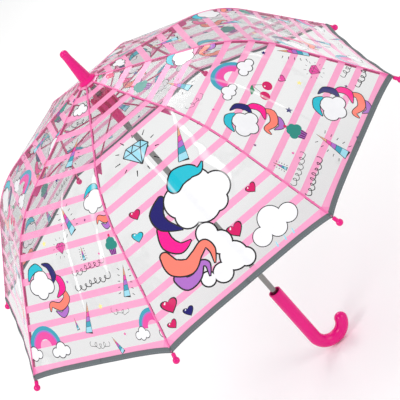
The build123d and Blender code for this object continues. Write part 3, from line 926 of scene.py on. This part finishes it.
# ---------------------------------------------------------------- mesh helpers
def add_piece(name: str, points: Sequence[Vector], faces: Sequence[Sequence[int]]) -> bpy.types.Object:
    """Make a smooth-shaded mesh piece at the origin.

    Args:
        name: the piece's name.
        points: its vertices, in metres.
        faces: its faces, as vertex numbers.

    Returns:
        The piece.
    """
    mesh = bpy.data.meshes.new(name)
    mesh.from_pydata([tuple(p) for p in points], [], [tuple(f) for f in faces])
    mesh.validate()
    mesh.polygons.foreach_set("use_smooth", [True] * len(mesh.polygons))
    mesh.update()
    piece = bpy.data.objects.new(name, mesh)
    bpy.context.scene.collection.objects.link(piece)
    return piece


def map_flat(piece: bpy.types.Object, places: Sequence[Point]) -> None:
    """Give a piece its flat map.

    Args:
        piece: the piece.
        places: one place for each vertex, in metres.
    """
    layer = piece.data.uv_layers.new(name="flat")
    for loop in piece.data.loops:
        layer.data[loop.index].uv = places[loop.vertex_index]


def dress(piece: bpy.types.Object, material: bpy.types.Material) -> None:
    """Give every slot of a piece one material.

    Args:
        piece: the piece.
        material: the material.
    """
    if piece.data.materials:
        for slot in piece.material_slots:
            slot.material = material
    else:
        piece.data.materials.append(material)


def tube_rings(rings: Sequence[Sequence[Vector]]) -> tuple[list[Vector], list[tuple[int, ...]]]:
    """A closed solid through rings of points, with its ends capped.

    Args:
        rings: cross-sections, each with as many points.

    Returns:
        Its vertices and its faces.
    """
    n = len(rings[0])
    points = [p for ring in rings for p in ring]
    faces: list[tuple[int, ...]] = []
    for i in range(len(rings) - 1):
        for j in range(n):
            a, b = i * n + j, i * n + (j + 1) % n
            faces.append((a, b, b + n, a + n))
    faces.append(tuple(reversed(range(n))))
    faces.append(tuple(range((len(rings) - 1) * n, len(rings) * n)))
    return points, faces


def face_outwards(piece: bpy.types.Object) -> None:
    """Turn a closed piece's faces outwards.

    Args:
        piece: the piece.
    """
    bpy.ops.object.select_all(action="DESELECT")
    piece.select_set(True)
    bpy.context.view_layer.objects.active = piece
    bpy.ops.object.mode_set(mode="EDIT")
    bpy.ops.mesh.select_all(action="SELECT")
    bpy.ops.mesh.normals_make_consistent(inside=False)
    bpy.ops.object.mode_set(mode="OBJECT")
    piece.select_set(False)


def in_order(piece: bpy.types.Object) -> None:
    """Number a piece's vertices and faces by place, because extruding numbers them otherwise in each run.

    Args:
        piece: the piece, which has no slots or maps yet.
    """
    mesh = piece.data
    places = [tuple(vertex.co) for vertex in mesh.vertices]
    order = sorted(range(len(places)), key=lambda i: places[i])
    rank = {old: new for new, old in enumerate(order)}
    faces = [[rank[i] for i in polygon.vertices] for polygon in mesh.polygons]
    mesh.clear_geometry()
    mesh.from_pydata([places[i] for i in order], [], sorted(faces, key=sorted))
    mesh.update()


# ---------------------------------------------------------------- the dome
@dataclass(frozen=True)
class Dome:
    """The film's shape, as the ribs hold it: gores that are straight across and bend down over the ribs."""

    ribs: int = 8
    first_azimuth: float = -25.3
    canopy_radius: float = 320.0
    tips_z: float = 233.0
    dome_height: float = 224.0
    crown_slope: float = 17.2
    skirt_slope: float = 52.5
    bend_radius: float = 168.0
    wire_drop: float = 2.2
    hem_setback: float = 10.0
    hem_rise: float = 3.5
    sag: float = 2.6
    ripple: float = 0.5
    slack_from: float = 166.0
    slack_over: float = 95.0

    def __post_init__(self) -> None:
        """Work out a gore's middle line once."""
        line = np.array(self.rib_line())
        middle = line * np.array([math.cos(self.half_turn), 1.0])
        runs = np.hypot(*np.diff(middle, axis=0).T)
        object.__setattr__(self, "_middle", middle)
        object.__setattr__(self, "_down", np.concatenate([[0.0], np.cumsum(runs)]))

    @property
    def half_turn(self) -> float:
        """Half the angle between two ribs."""
        return math.pi / self.ribs

    @property
    def joint_down(self) -> float:
        """How far down a gore the rib joints are."""
        return float(self._down[1])

    @property
    def bend_down(self) -> float:
        """How far down a gore the ribs' bend ends."""
        return float(self._down[-2])

    @property
    def hem_down(self) -> float:
        """How far down a gore its corners are."""
        return float(self._down[-1])

    def azimuth(self, rib: int) -> float:
        """A rib's direction, in radians; ribs are numbered from 1."""
        return math.radians(self.first_azimuth) + 2 * self.half_turn * (rib - 1)

    def rib_line(self, steps: int = 32) -> list[Point]:
        """The line of the film over a rib: straight, bent round to the skirt's slope, and straight.

        Args:
            steps: parts of the bend.

        Returns:
            Its points, as (radius, height), from the axis to the hem.
        """
        c, s = math.radians(self.crown_slope), math.radians(self.skirt_slope)
        crown = self.tips_z + self.dome_height
        ball_r = self.canopy_radius + self.wire_drop * math.sin(s)
        ball_z = self.tips_z + self.wire_drop * math.cos(s)
        corner_r = (math.tan(s) * ball_r + ball_z - crown) / (math.tan(s) - math.tan(c))
        corner_z = crown - corner_r * math.tan(c)
        bend = self.bend_radius + self.wire_drop
        run = bend * math.tan((s - c) / 2)
        centre_r = corner_r - run * math.cos(c) - bend * math.sin(c)
        centre_z = corner_z + run * math.sin(c) - bend * math.cos(c)
        slopes = [c + (s - c) * i / steps for i in range(steps + 1)]
        bent = [(centre_r + bend * math.sin(t), centre_z + bend * math.cos(t)) for t in slopes]
        end = (ball_r - self.hem_setback * math.cos(s), ball_z + self.hem_setback * math.sin(s))
        return [(0.0, crown), *bent, end]

    def slope(self, down: float) -> float:
        """How steep a gore is at a distance down it, in radians."""
        a, b = self.middle(down - 2.0), self.middle(down + 2.0)
        return math.atan2(a[1] - b[1], b[0] - a[0])

    def middle(self, down: float) -> Point:
        """Follow a gore's middle line, and on past the hem.

        Args:
            down: distance down the line from the crown.

        Returns:
            The place there, as (radius, height).
        """
        over = max(0.0, down - self.hem_down)
        radius, height = (float(np.interp(down, self._down, line)) for line in self._middle.T)
        s = math.radians(self.skirt_slope)
        steep = math.atan2(math.sin(s), math.cos(s) * math.cos(self.half_turn))
        return radius + over * math.cos(steep), height - over * math.sin(steep)

    def half_width(self, down: float) -> float:
        """Half of a gore's width at a distance down it."""
        return self.middle(down)[0] * math.tan(self.half_turn)

    def down_at(self, radius: float) -> float:
        """How far down a gore the film is over a rib at a radius from the axis."""
        return float(np.interp(radius * math.cos(self.half_turn), self._middle[:, 0], self._down))

    def hem(self, share: float) -> float:
        """How far down the hem is at a share of the half width; the corners are drawn down to the tips."""
        return self.hem_down - self.hem_rise * (1.0 - abs(share) ** 5)

    def square_cut(self, rib_down: float, share: float) -> float:
        """How far down a cut is that leaves a rib squarely, at a share of the half width."""
        spread = (self.half_width(rib_down + 3.0) - self.half_width(rib_down - 3.0)) / 6.0
        return rib_down + (1.0 - share) * self.half_width(rib_down) * spread

    def hollow(self, gore: int, x: float, down: float, share: float) -> float:
        """How far the slack film hangs in: a sag between the ribs, with two crossing ripples on it.

        Args:
            gore: the gore's number.
            x: distance across from its middle line.
            down: distance down from the crown.
            share: x as a share of the half width there.

        Returns:
            The distance.
        """
        slack = min(1.0, max(0.0, (down - self.slack_from) / self.slack_over))
        wave = math.sin(x * 0.11 + down * 0.045 + gore * 1.7) + 0.6 * math.sin(x * 0.05 - down * 0.08 + gore)
        return self.sag * (1 - share * share) * slack**1.5 + self.ripple * wave * (1 - share**4) * slack**0.7

    def at(self, gore: int, x: float, down: float, lift: float = 0.0) -> Vector:
        """A point of a gore.

        Args:
            gore: its number; it lies between the rib of that number and the next.
            x: distance across from its middle line.
            down: distance down from the crown.
            lift: distance out from the film.

        Returns:
            The point, in metres.
        """
        radius, height = self.middle(down)
        steep = self.slope(down)
        width = max(radius * math.tan(self.half_turn), 1e-6)
        hollow = self.hollow(gore, x, down, min(1.0, abs(x) / width))
        out = radius + lift * math.sin(steep)
        across = x * (out / radius if radius > 1e-6 else 1.0)
        out -= hollow * math.sin(steep)
        height += (lift - hollow) * math.cos(steep)
        turn = self.azimuth(gore) + self.half_turn
        c, s = math.cos(turn), math.sin(turn)
        return Vector((out * c - across * s, out * s + across * c, height)) * MM

    def over_rib(self, rib: int, down: float, aside: float, lift: float) -> Vector:
        """A point beside a rib's line.

        Args:
            rib: its number.
            down: distance down a gore's middle line.
            aside: distance beside the rib.
            lift: distance out from the film.

        Returns:
            The point, in metres.
        """
        radius, height = self.middle(down)
        radius /= math.cos(self.half_turn)
        steep = self.slope(down)
        out, height = radius + lift * math.sin(steep), height + lift * math.cos(steep)
        c, s = math.cos(self.azimuth(rib)), math.sin(self.azimuth(rib))
        return Vector((out * c - aside * s, out * s + aside * c, height)) * MM


class Length(Enum):
    """The lengths of a rib that the film follows: its straight top, its bend and its straight bottom."""

    UPPER = "upper"
    BEND = "bend"
    SKIRT = "skirt"

    def body(self, rib: int) -> str:
        """The body that this length of a rib is on."""
        return f"rib_{rib}" if self is Length.UPPER else f"rib_end_{rib}"

    def wire(self, rib: int) -> str:
        """The rib wire under this length."""
        return f"rib_upper_{rib}" if self is Length.UPPER else f"rib_lower_{rib}"


@dataclass
class HemTape:
    """The grey tape folded over the film's edge, in one length for each half gore."""

    dome: Dome
    material: bpy.types.Material
    width: float = 6.5
    thickness: float = 0.55
    steps: int = 24

    def section(self) -> list[Point]:
        """Draw the folded tape's outline.

        Returns:
            Its points, as (distance up from the edge, distance out from the film).
        """
        t, w = self.thickness, self.width
        outside = [(w, 0.12), (w - 0.3, t), (w / 2, t + 0.04), (0.3, t), (-0.35, t * 0.6)]
        inside = [(-0.35, -t * 0.6), (0.3, -t), (w / 2, -t), (w - 0.3, -t), (w, -0.12)]
        return [*outside, (-0.5, 0.0), *inside]

    def fold(self, gore: int, side: int) -> bpy.types.Object:
        """Make one length.

        Args:
            gore: the gore's number.
            side: which half of it.

        Returns:
            The tape.
        """
        dome, section = self.dome, self.section()
        rings: list[list[Vector]] = []
        places: list[Point] = []
        along, before = 0.0, None
        for i in range(self.steps + 1):
            share = i / self.steps
            edge = dome.hem(share)
            across = side * share * dome.half_width(edge)
            here = dome.at(gore, across, edge)
            along += (here - before).length if before is not None else 0.0
            before = here
            rings.append([dome.at(gore, across, edge - up, lift) for up, lift in section])
            places += [(along, up * MM) for up, _ in section]
        points, faces = tube_rings(rings)
        piece = add_piece(f"hem_tape_{gore}_{'left' if side < 0 else 'right'}", points, faces)
        map_flat(piece, places)
        dress(piece, self.material)
        face_outwards(piece)
        return piece


Triangle = tuple[int, int, int]
SMALLEST_TURN = 1e-7  # twice the area, in square millimetres, under which a triangle is left out


@dataclass
class Canopy:
    """The printed film, cut in gores, each half of which follows the rib beside it."""

    dome: Dome
    tape: HemTape
    stripe_width: float = 8.6
    stripe_reach: float = 150.0
    stripes: tuple[float, ...] = (12, 31, 55, 79, 111, 136, 175, 202.5, 227, 256.5, 290, 313, 336, 365.5)
    start_radius: float = 12.0
    hole_radius: float = 5.5
    row: float = 8.0
    columns: int = 6
    seam_width: float = 1.3
    patch: float = 13.0
    folded_share: float = 0.045
    crown_fill: float = 0.62
    inks: dict[Ink, bpy.types.Material] = field(default_factory=dict)
    pieces: list[bpy.types.Object] = field(default_factory=list)

    def design(self, gore: int) -> list[Shape]:
        """Draw the print on a gore, with its seams and corner patches.

        Args:
            gore: the gore's number.

        Returns:
            Its shapes, later ones over earlier ones.
        """
        dome, half, patch = self.dome, self.stripe_width / 2, self.patch
        shapes = [band(Ink.STRIPE, y - half, y + half, self.stripe_reach) for y in self.stripes]
        shapes += ARTWORK[gore].shapes()
        rows = np.linspace(0.0, dome.hem_down + 4.0, 60)
        bottom, wide, high = dome.hem_down, dome.half_width(dome.hem_down), patch * 1.5
        corner = ((-2, 2), (patch, 2), (patch * 0.8, -patch * 0.7), (4.0, -high), (-2, -high))
        for side in (-1, 1):
            edge = [(side * (dome.half_width(y) + 1.0), y) for y in rows]
            inner = [(side * max(0.0, dome.half_width(y) - self.seam_width), y) for y in rows]
            shapes.append((Ink.PATCH, edge + inner[::-1]))
            shapes.append((Ink.PATCH, [(side * (wide - inset), bottom + drop) for inset, drop in corner]))
        return shapes

    def edges(self, length: Length, share: float) -> tuple[float, float]:
        """Find how far down a film piece's top and bottom edges are.

        Args:
            length: which length of the rib the piece follows.
            share: where across the half gore, from its middle at 0 to the rib at 1.

        Returns:
            The distances down the gore.
        """
        dome, first = self.dome, list(Length).index(length)
        cuts = [dome.square_cut(down, share) for down in (dome.joint_down, dome.bend_down)]
        downs = (dome.down_at(self.start_radius), *cuts, dome.hem(share))
        return downs[first], downs[first + 1]

    def net(self, side: int, length: Length) -> tuple[list[list[Point]], list[Point]]:
        """The flat net that one film piece is divided on.

        Args:
            side: -1 for the half left of the gore's middle, 1 for the right.
            length: which length of the rib it follows.

        Returns:
            The net's rows of points, and the piece's outline.
        """
        def place(share: float, part: float) -> Point:
            """A point of the net, by its shares across and down."""
            top, bottom = self.edges(length, share)
            down = top + (bottom - top) * part
            return side * share * self.dome.half_width(down), down

        top, bottom = self.edges(length, 0.5)
        count = max(2, round((bottom - top) / self.row))
        shares = [i / self.columns for i in range(self.columns + 1)]
        rows = [[place(share, i / count) for share in shares] for i in range(count + 1)]
        hem = rows[-1]
        if length is Length.SKIRT:
            hem = [place(i / (2 * self.columns), 1.0) for i in range(2 * self.columns + 1)]
        left, right = ([row[end] for row in rows[:-1]] for end in (0, -1))
        return rows, [*left, *hem, *right[::-1], *rows[0][-2:0:-1]]

    def divide(self, net: list[list[Point]], shapes: list[Shape]) -> tuple[list, list[Triangle], list[Ink]]:
        """Divide a flat piece into triangles along its net and the outlines of its print.

        Args:
            net: the net's rows of points.
            shapes: the piece's own outline, and then the shapes printed on it.

        Returns:
            The flat points, the triangles within the piece, and each triangle's ink.
        """
        points: list[Point] = []
        faces: list[list[int]] = []
        for _, outline in shapes:
            faces.append(list(range(len(points), len(points) + len(outline))))
            points += anticlockwise(outline)
        edges: list[tuple[int, int]] = []
        first, across = len(points), self.columns + 1
        for i, line in enumerate(net):
            points += line
            for j in range(across):
                here = first + i * across + j
                if j + 1 < across and 0 < i < len(net) - 1:
                    edges.append((here, here + 1))
                if i + 1 < len(net):
                    edges.append((here, here + across))
        found = delaunay_2d_cdt([Vector(p) for p in points], edges, faces, 1, 1e-4, True)
        flat, triangles, owners = found[0], found[2], found[5]
        kept, tones = [], []
        for triangle, owner in zip(triangles, owners):
            a, b, c = (flat[i] for i in triangle)
            turn = (b - a).cross(c - a)
            if 0 in owner and abs(turn) >= SMALLEST_TURN:
                kept.append(tuple(triangle) if turn < 0 else tuple(reversed(triangle)))
                tones.append(shapes[max(owner)][0])
        return flat, kept, tones

    def cut(self, gore: int, side: int, length: Length) -> bpy.types.Object:
        """Cut one film piece with its print, and shape it over the ribs.

        Args:
            gore: the gore's number.
            side: which half of it.
            length: which length of the rib it follows.

        Returns:
            The piece, one open sheet with a slot for each ink on it.
        """
        net, ring = self.net(side, length)
        (near, far), (low, high) = ((min(way), max(way)) for way in zip(*ring))
        shapes: list[Shape] = [(Ink.CLEAR, ring)]
        for tone, outline in self.design(gore):
            xs, ys = zip(*outline)
            if max(xs) > near and min(xs) < far and max(ys) > low and min(ys) < high:
                shapes.append((tone, outline))
        flat, kept, tones = self.divide(net, shapes)
        used = sorted({i for triangle in kept for i in triangle})
        number = {i: n for n, i in enumerate(used)}
        piece = add_piece(
            f"film_{length.value}_{gore}_{'left' if side < 0 else 'right'}",
            [self.dome.at(gore, flat[i].x, flat[i].y) for i in used],
            [tuple(number[i] for i in triangle) for triangle in kept],
        )
        map_flat(piece, [(flat[i].x * MM, flat[i].y * MM) for i in used])
        order = sorted(set(tones), key=lambda tone: tone.name)
        for tone in order:
            piece.data.materials.append(self.inks[tone])
        if len(piece.data.polygons) == len(tones):
            piece.data.polygons.foreach_set("material_index", [order.index(tone) for tone in tones])
        trims = [self.tape.fold(gore, side)] if length is Length.SKIRT else []
        for part in [piece, *trims]:
            self.hang(part, gore, side, length)
        return piece

    def rib_of(self, gore: int, side: int) -> int:
        """The number of the rib beside a half gore."""
        return gore if side < 0 else gore % self.dome.ribs + 1

    def hang(self, piece: bpy.types.Object, gore: int, side: int, length: Length) -> None:
        """Make a piece move with its rib, and give it a mesh of its own.

        Args:
            piece: the film or hem piece.
            gore: its gore's number.
            side: which half of the gore.
            length: which length of the rib it follows.
        """
        rib = self.rib_of(gore, side)
        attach(piece, length.body(rib))
        mid = self.dome.azimuth(gore) + self.dome.half_turn
        down = sum(self.edges(length, 1.0)) / 2
        start = self.dome.over_rib(rib, down - 1, 0, 0)
        ahead = (self.dome.over_rib(rib, down + 1, 0, 0) - start).normalized()
        across = Vector((math.sin(mid), -math.cos(mid), 0.0)) * side
        gather = across - ahead * across.dot(ahead)
        anchor, axis = tuple(self.dome.over_rib(rib, down, 0, 0)), tuple(gather.normalized())
        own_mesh(piece)

    def crown(self) -> bpy.types.Object:
        """Make the ring of film held between the washer and the notch.

        Returns:
            The ring.
        """
        points, faces, places = [], [], []
        dome, n = self.dome, self.dome.ribs * 6
        radii = np.linspace(self.hole_radius, self.start_radius + 0.1, 4)
        for r in radii:
            height = dome.tips_z + dome.dome_height - r * math.tan(math.radians(dome.crown_slope))
            for i in range(n):
                turn = 2 * math.pi * i / n
                inside = turn % (2 * dome.half_turn) - dome.half_turn
                reach = r * math.cos(dome.half_turn) / math.cos(inside)
                turn += dome.azimuth(1)
                points.append(Vector((reach * math.cos(turn), reach * math.sin(turn), height)) * MM)
                places.append((points[-1].x, points[-1].y))
        for k in range(len(radii) - 1):
            for i in range(n):
                a, b = k * n + i, k * n + (i + 1) % n
                faces.append((a, a + n, b + n, b))
        piece = add_piece("film_crown", points, faces)
        map_flat(piece, places)
        dress(piece, self.inks[Ink.STRIPE])
        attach(piece, "stick")
        return piece

    def build(self) -> None:
        """Cut and hang every film piece."""
        self.inks = {tone: PrintedFilm(tone).material() for tone in Ink}
        for gore in range(1, self.dome.ribs + 1):
            for side in (-1, 1):
                pieces = [self.cut(gore, side, length) for length in Length]
                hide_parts(f"canopy_panel_{self.rib_of(gore, side)}")
                self.pieces += pieces
        self.pieces.append(self.crown())


@dataclass
class RibSeams:
    """The welted seam over each rib, the saddle over each joint and the thread ties."""

    dome: Dome
    half_width: float = 1.15
    height: float = 0.55
    welt_row: float = 3.0
    bend_reach: float = 7.0
    saddle_radius: float = 4.5
    saddle_length: float = 24.0
    saddle_above: float = 15.0
    saddle_steps: int = 12
    saddle_pinch: float = 0.82
    saddle_skirt: float = 1.1
    saddle_wall: float = 0.4
    saddle_gap: float = 0.62
    tie_radius: float = 2.0
    tie_thread: float = 0.32
    tie_squeeze: Point = (0.95, 1.12)
    tie_sink: float = 1.55
    tie_lean: float = 0.8
    tie_turns: int = 20
    tie_sides: int = 6
    upper_ties: tuple[float, ...] = (40.0, 92.0)
    lower_ties: tuple[float, ...] = (190.0, 245.0, 300.0, 350.0)

    def bend_over_joint(self, piece: bpy.types.Object, rib: int) -> None:
        """Bake a piece's placement into its mesh.

        Args:
            piece: the piece.
            rib: the rib that it lies over.
        """
        steps = (-self.bend_reach, self.bend_reach)
        start, end = (tuple(self.dome.over_rib(rib, self.dome.joint_down + step, 0, 0)) for step in steps)
        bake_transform(piece)

    def welt(self, rib: int, start: float, stop: float, material: bpy.types.Material) -> None:
        """Make a rib's raised seam.

        Args:
            rib: the rib under it.
            start: where it begins, down the gore.
            stop: where it ends.
            material: its material.
        """
        a, h = self.half_width, self.height
        left = [(-a, -0.35), (-a * 0.8, h * 0.45), (-a * 0.35, h * 0.9)]
        section = [*left, (0, h), *((-aside, lift) for aside, lift in left[::-1]), (0, -0.2)]
        rows = np.linspace(start, stop, round((stop - start) / self.welt_row))
        rings = [[self.dome.over_rib(rib, y, aside, lift) for aside, lift in section] for y in rows]
        points, faces = tube_rings(rings)
        piece = add_piece(f"seam_{rib}", points, faces)
        dress(piece, material)
        face_outwards(piece)
        self.bend_over_joint(piece, rib)

    def saddle(self) -> bpy.types.Object:
        """Model the soft plastic saddle that keeps a joint off the film, along Z with its back to +Y.

        Returns:
            The saddle, with its end nearest the crown at the origin.
        """
        pinch, radius = self.saddle_pinch, self.saddle_radius * self.saddle_pinch * MM
        bpy.ops.object.select_all(action="DESELECT")
        bpy.ops.mesh.primitive_circle_add(vertices=32, radius=radius, location=(0, 0, 0))
        shape = bpy.context.object
        bpy.ops.object.mode_set(mode="EDIT")
        bpy.ops.mesh.select_all(action="SELECT")
        step = self.saddle_length / self.saddle_steps * MM
        for number in range(self.saddle_steps):
            bpy.ops.mesh.extrude_region_move(TRANSFORM_OT_translate={"value": (0, 0, step)})
            if number in (0, self.saddle_steps - 1):
                grow = 1 / pinch if number == 0 else pinch
                bpy.ops.transform.resize(value=(grow, grow, 1), center_override=(0, 0, step * (number + 1)))
        bpy.ops.mesh.select_all(action="SELECT")
        cut = (0, -self.saddle_skirt * MM, 0)
        bpy.ops.mesh.bisect(plane_co=cut, plane_no=(0, 1, 0), clear_inner=True)
        bpy.ops.object.mode_set(mode="OBJECT")
        in_order(shape)
        wall = shape.modifiers.new("wall", "SOLIDIFY")
        wall.thickness, wall.offset = self.saddle_wall * MM, -1.0
        rim = shape.modifiers.new("rim", "BEVEL")
        rim.width, rim.segments, rim.limit_method = self.saddle_wall * 0.3 * MM, 2, "ANGLE"
        for name in ("wall", "rim"):
            bpy.ops.object.modifier_apply(modifier=name)
        bpy.ops.object.shade_smooth_by_angle(angle=math.radians(40))
        face_outwards(shape)
        return shape

    def joint_patches(self, material: bpy.types.Material) -> int:
        """Copy the saddle over every rib's joint.

        Args:
            material: its material.

        Returns:
            How many there are.
        """
        pattern = self.saddle()
        joint, lift = self.dome.joint_down, -self.saddle_gap - self.saddle_radius
        for rib in range(1, self.dome.ribs + 1):
            foot = self.dome.over_rib(rib, joint - self.saddle_above, 0, lift)
            along = (self.dome.over_rib(rib, joint, 0, lift) - foot).normalized()
            turn = self.dome.azimuth(rib)
            across = Vector((-math.sin(turn), math.cos(turn), 0.0))
            piece = bpy.data.objects.new(f"joint_patch_{rib}", pattern.data.copy())
            bpy.context.scene.collection.objects.link(piece)
            place = Matrix((across, along.cross(across), along)).transposed().to_4x4()
            piece.data.transform(Matrix.Translation(foot) @ place)
            dress(piece, material)
            self.bend_over_joint(piece, rib)
        bpy.data.objects.remove(pattern)
        return self.dome.ribs

    def tie(self, rib: int, number: int, down: float, length: Length, thread: bpy.types.Material) -> None:
        """Make one thread loop round a rib and its seam.

        Args:
            rib: the rib's number.
            number: which tie of the rib it is.
            down: where it is, down the gore.
            length: which length of the rib it is on.
            thread: its material.
        """
        wide, high = (self.tie_radius * squeeze for squeeze in self.tie_squeeze)
        turns, n = self.tie_turns, self.tie_sides
        points, faces = [], []
        for i in range(turns):
            turn = 2 * math.pi * i / turns
            c, s = math.cos(turn), math.sin(turn)
            for j in range(n):
                t = 2 * math.pi * j / n
                grow, along = self.tie_thread * math.cos(t), self.tie_thread * math.sin(t)
                aside, lift = (wide + grow) * s, high * c - self.tie_sink + grow * c
                points.append(self.dome.over_rib(rib, down + self.tie_lean * s + along, aside, lift))
                here, ahead = i * n, (i + 1) % turns * n
                faces.append((here + j, here + (j + 1) % n, ahead + (j + 1) % n, ahead + j))
        piece = add_piece(f"tie_{rib}_{number}", points, faces)
        dress(piece, thread)
        face_outwards(piece)
        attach(piece, length.body(rib))

    def build(self, start_radius: float, seam: MouldedPlastic, patch: MouldedPlastic) -> int:
        """Make every rib's seam, saddle and ties.

        Args:
            start_radius: where the seams begin, from the axis.
            seam: the seams' finish.
            patch: the saddles' finish.

        Returns:
            How many pieces were made.
        """
        welded, soft, sewn = seam.material(), patch.material(), SewingThread().material()
        made = self.joint_patches(soft)
        ties = [(down, Length.UPPER) for down in self.upper_ties]
        ties += [(down, Length.SKIRT) for down in self.lower_ties]
        for rib in range(1, self.dome.ribs + 1):
            self.welt(rib, self.dome.down_at(start_radius), self.dome.hem_down - 0.5, welded)
            for number, (down, length) in enumerate(ties, 1):
                self.tie(rib, number, down, length, sewn)
            made += 1 + len(ties)
        return made


@dataclass
class Stick:
    """The shaft, handle, ferrule, hub, runner, ribs and stretchers, which the CAD model shapes."""

    hot_pink: Colour = ink(236, 2, 130)
    wire_pink: Colour = ink(214, 58, 128)
    steel: Colour = ink(140, 139, 137)

    def finishes(self) -> dict[str, bpy.types.Material]:
        """Make the finishes of the CAD nodes.

        Returns:
            Their materials, by the start of the nodes' names, of which the first that fits counts.
        """
        grip = MouldedPlastic("handle_plastic", self.hot_pink, 0.10).material()
        fittings = MouldedPlastic("fitting_plastic", self.hot_pink, 0.16).material()
        clips = MouldedPlastic("clip_plastic", tinted(self.hot_pink, 0.9), 0.32).material()
        tips = MouldedPlastic("tip_plastic", tinted(self.hot_pink, 0.97), 0.22).material()
        tube = DrawnMetal("shaft_steel", self.steel, 0.14).material()
        spring = DrawnMetal("spring_steel", tinted(self.steel, 1.5), 0.30, (400.0, 400.0, 60.0)).material()
        wire = CoatedWire("rib_wire", self.wire_pink).material()
        arms = CoatedWire("stretcher_wire", tinted(self.wire_pink, 0.92)).material()
        return {
            "shaft": tube, "handle": grip, "ferrule": fittings, "crown_washer": fittings,
            "rib_notch": fittings, "runner_ring": spring, "runner": fittings, "notch_ring": spring,
            "stop_pin": spring, "top_catch": spring, "bottom_catch": spring,
            "rib_": wire, "stretcher": arms, "joint_clip": clips, "tip_ball": tips,
        }

    def build(self) -> int:
        """Dress the CAD nodes.

        Returns:
            How many were dressed.
        """
        finishes, dressed = self.finishes(), 0
        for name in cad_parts:
            node = bpy.data.objects.get(name)
            start = next((key for key in finishes if name.startswith(key)), None)
            if node is None or start is None:
                continue
            dress(node, finishes[start])
            dressed += 1
        return dressed


@dataclass
class Studio:
    """A pale floor, a white surround, the camera, and soft lamps by name, place, sizes and power."""

    floor_gap: float = 0.001
    floor_size: float = 14.0
    air: float = 0.66
    lamps: tuple[tuple[str, Triple, Point, float], ...] = (
        ("key_lamp", (-1.7, -1.3, 2.3), (0.9, 1.4), 35.0),
        ("fill_lamp", (1.9, -1.7, 1.6), (1.3, 1.6), 17.0),
        ("rim_lamp", (0.7, 1.9, 2.0), (1.4, 1.2), 21.0),
    )
    lamp_aim: float = 0.25
    distance: float = 2.1278
    elevation: float = 25.7
    roll: float = -41.6
    lens: float = 146.5
    shift: Point = (0.018, -0.0014)

    def floor(self, low: float) -> None:
        """Lay the floor.

        Args:
            low: the height of the umbrella's lowest point.
        """
        bpy.ops.object.select_all(action="DESELECT")
        bpy.ops.mesh.primitive_plane_add(size=self.floor_size, location=(0, 0, low - self.floor_gap))
        plane = bpy.context.object
        plane.name = "studio_floor"
        board = Board("studio_floor")
        mottle = board.noise(board.place(), 3.0)
        board.put(Base_Color=board.blend(mottle, (0.96, 0.96, 0.96), (0.99, 0.99, 0.99)), Roughness=0.9)
        dress(plane, board.material)
        plane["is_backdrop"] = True

    def lights(self) -> None:
        """Set the white surround, and the lamps, which all face the umbrella."""
        world = bpy.data.worlds.new("studio_air")
        world.use_nodes = True
        air = world.node_tree.nodes["Background"].inputs
        air["Color"].default_value, air["Strength"].default_value = (*WHITE, 1.0), self.air
        bpy.context.scene.world = world
        for name, place, (wide, tall), power in self.lamps:
            data = bpy.data.lights.new(name, "AREA")
            data.shape, data.size, data.size_y, data.energy = "RECTANGLE", wide, tall, power
            lamp = bpy.data.objects.new(name, data)
            lamp.location = place
            away = Vector((0, 0, self.lamp_aim)) - lamp.location
            lamp.rotation_euler = away.to_track_quat("-Z", "Y").to_euler()
            bpy.context.scene.collection.objects.link(lamp)
        bpy.context.scene.view_settings.view_transform = "Standard"

    def camera(self, target: Vector) -> None:
        """Set the camera, turned about its own axis so that the umbrella leans.

        Args:
            target: the point that it looks at.
        """
        e, r = math.radians(self.elevation), math.radians(self.roll)
        back = Vector((0, -math.cos(e), math.sin(e)))
        right, up = Vector((1, 0, 0)), Vector((0, math.sin(e), math.cos(e)))
        x_axis = right * math.cos(r) + up * math.sin(r)
        y_axis = up * math.cos(r) - right * math.sin(r)
        data = bpy.data.cameras.new("camera")
        data.lens, data.sensor_width = self.lens, 36.0
        data.shift_x, data.shift_y = self.shift
        camera = bpy.data.objects.new("camera", data)
        turned = Matrix((x_axis, y_axis, back)).transposed().to_4x4()
        camera.matrix_world = Matrix.Translation(target + back * self.distance) @ turned
        bpy.context.scene.collection.objects.link(camera)
        bpy.context.scene.camera = camera


def main() -> None:
    """Build the umbrella's looks and report each part."""
    logging.basicConfig(level=logging.INFO, format="%(name)s: %(message)s")
    cad_low, cad_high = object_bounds()
    dome = Dome()
    studio = Studio()
    studio.camera(Vector((0, 0, dome.tips_z * MM)))
    studio.lights()
    studio.floor(cad_low.z)
    log.info("studio set")

    stick = Stick()
    log.info("dressed %d CAD nodes", stick.build())

    canopy = Canopy(dome, HemTape(dome, ReflectiveTape().material()))
    canopy.build()
    log.info("cut %d film pieces", len(canopy.pieces))

    seam = MouldedPlastic("seam_weld", ink(238, 112, 172), 0.30)
    patch = MouldedPlastic("joint_patch", ink(240, 76, 156), 0.30, 0.9)
    count = RibSeams(dome).build(canopy.start_radius, seam, patch)
    log.info("made %d seams, saddles and ties", count)


if __name__ == "__main__":
    main()
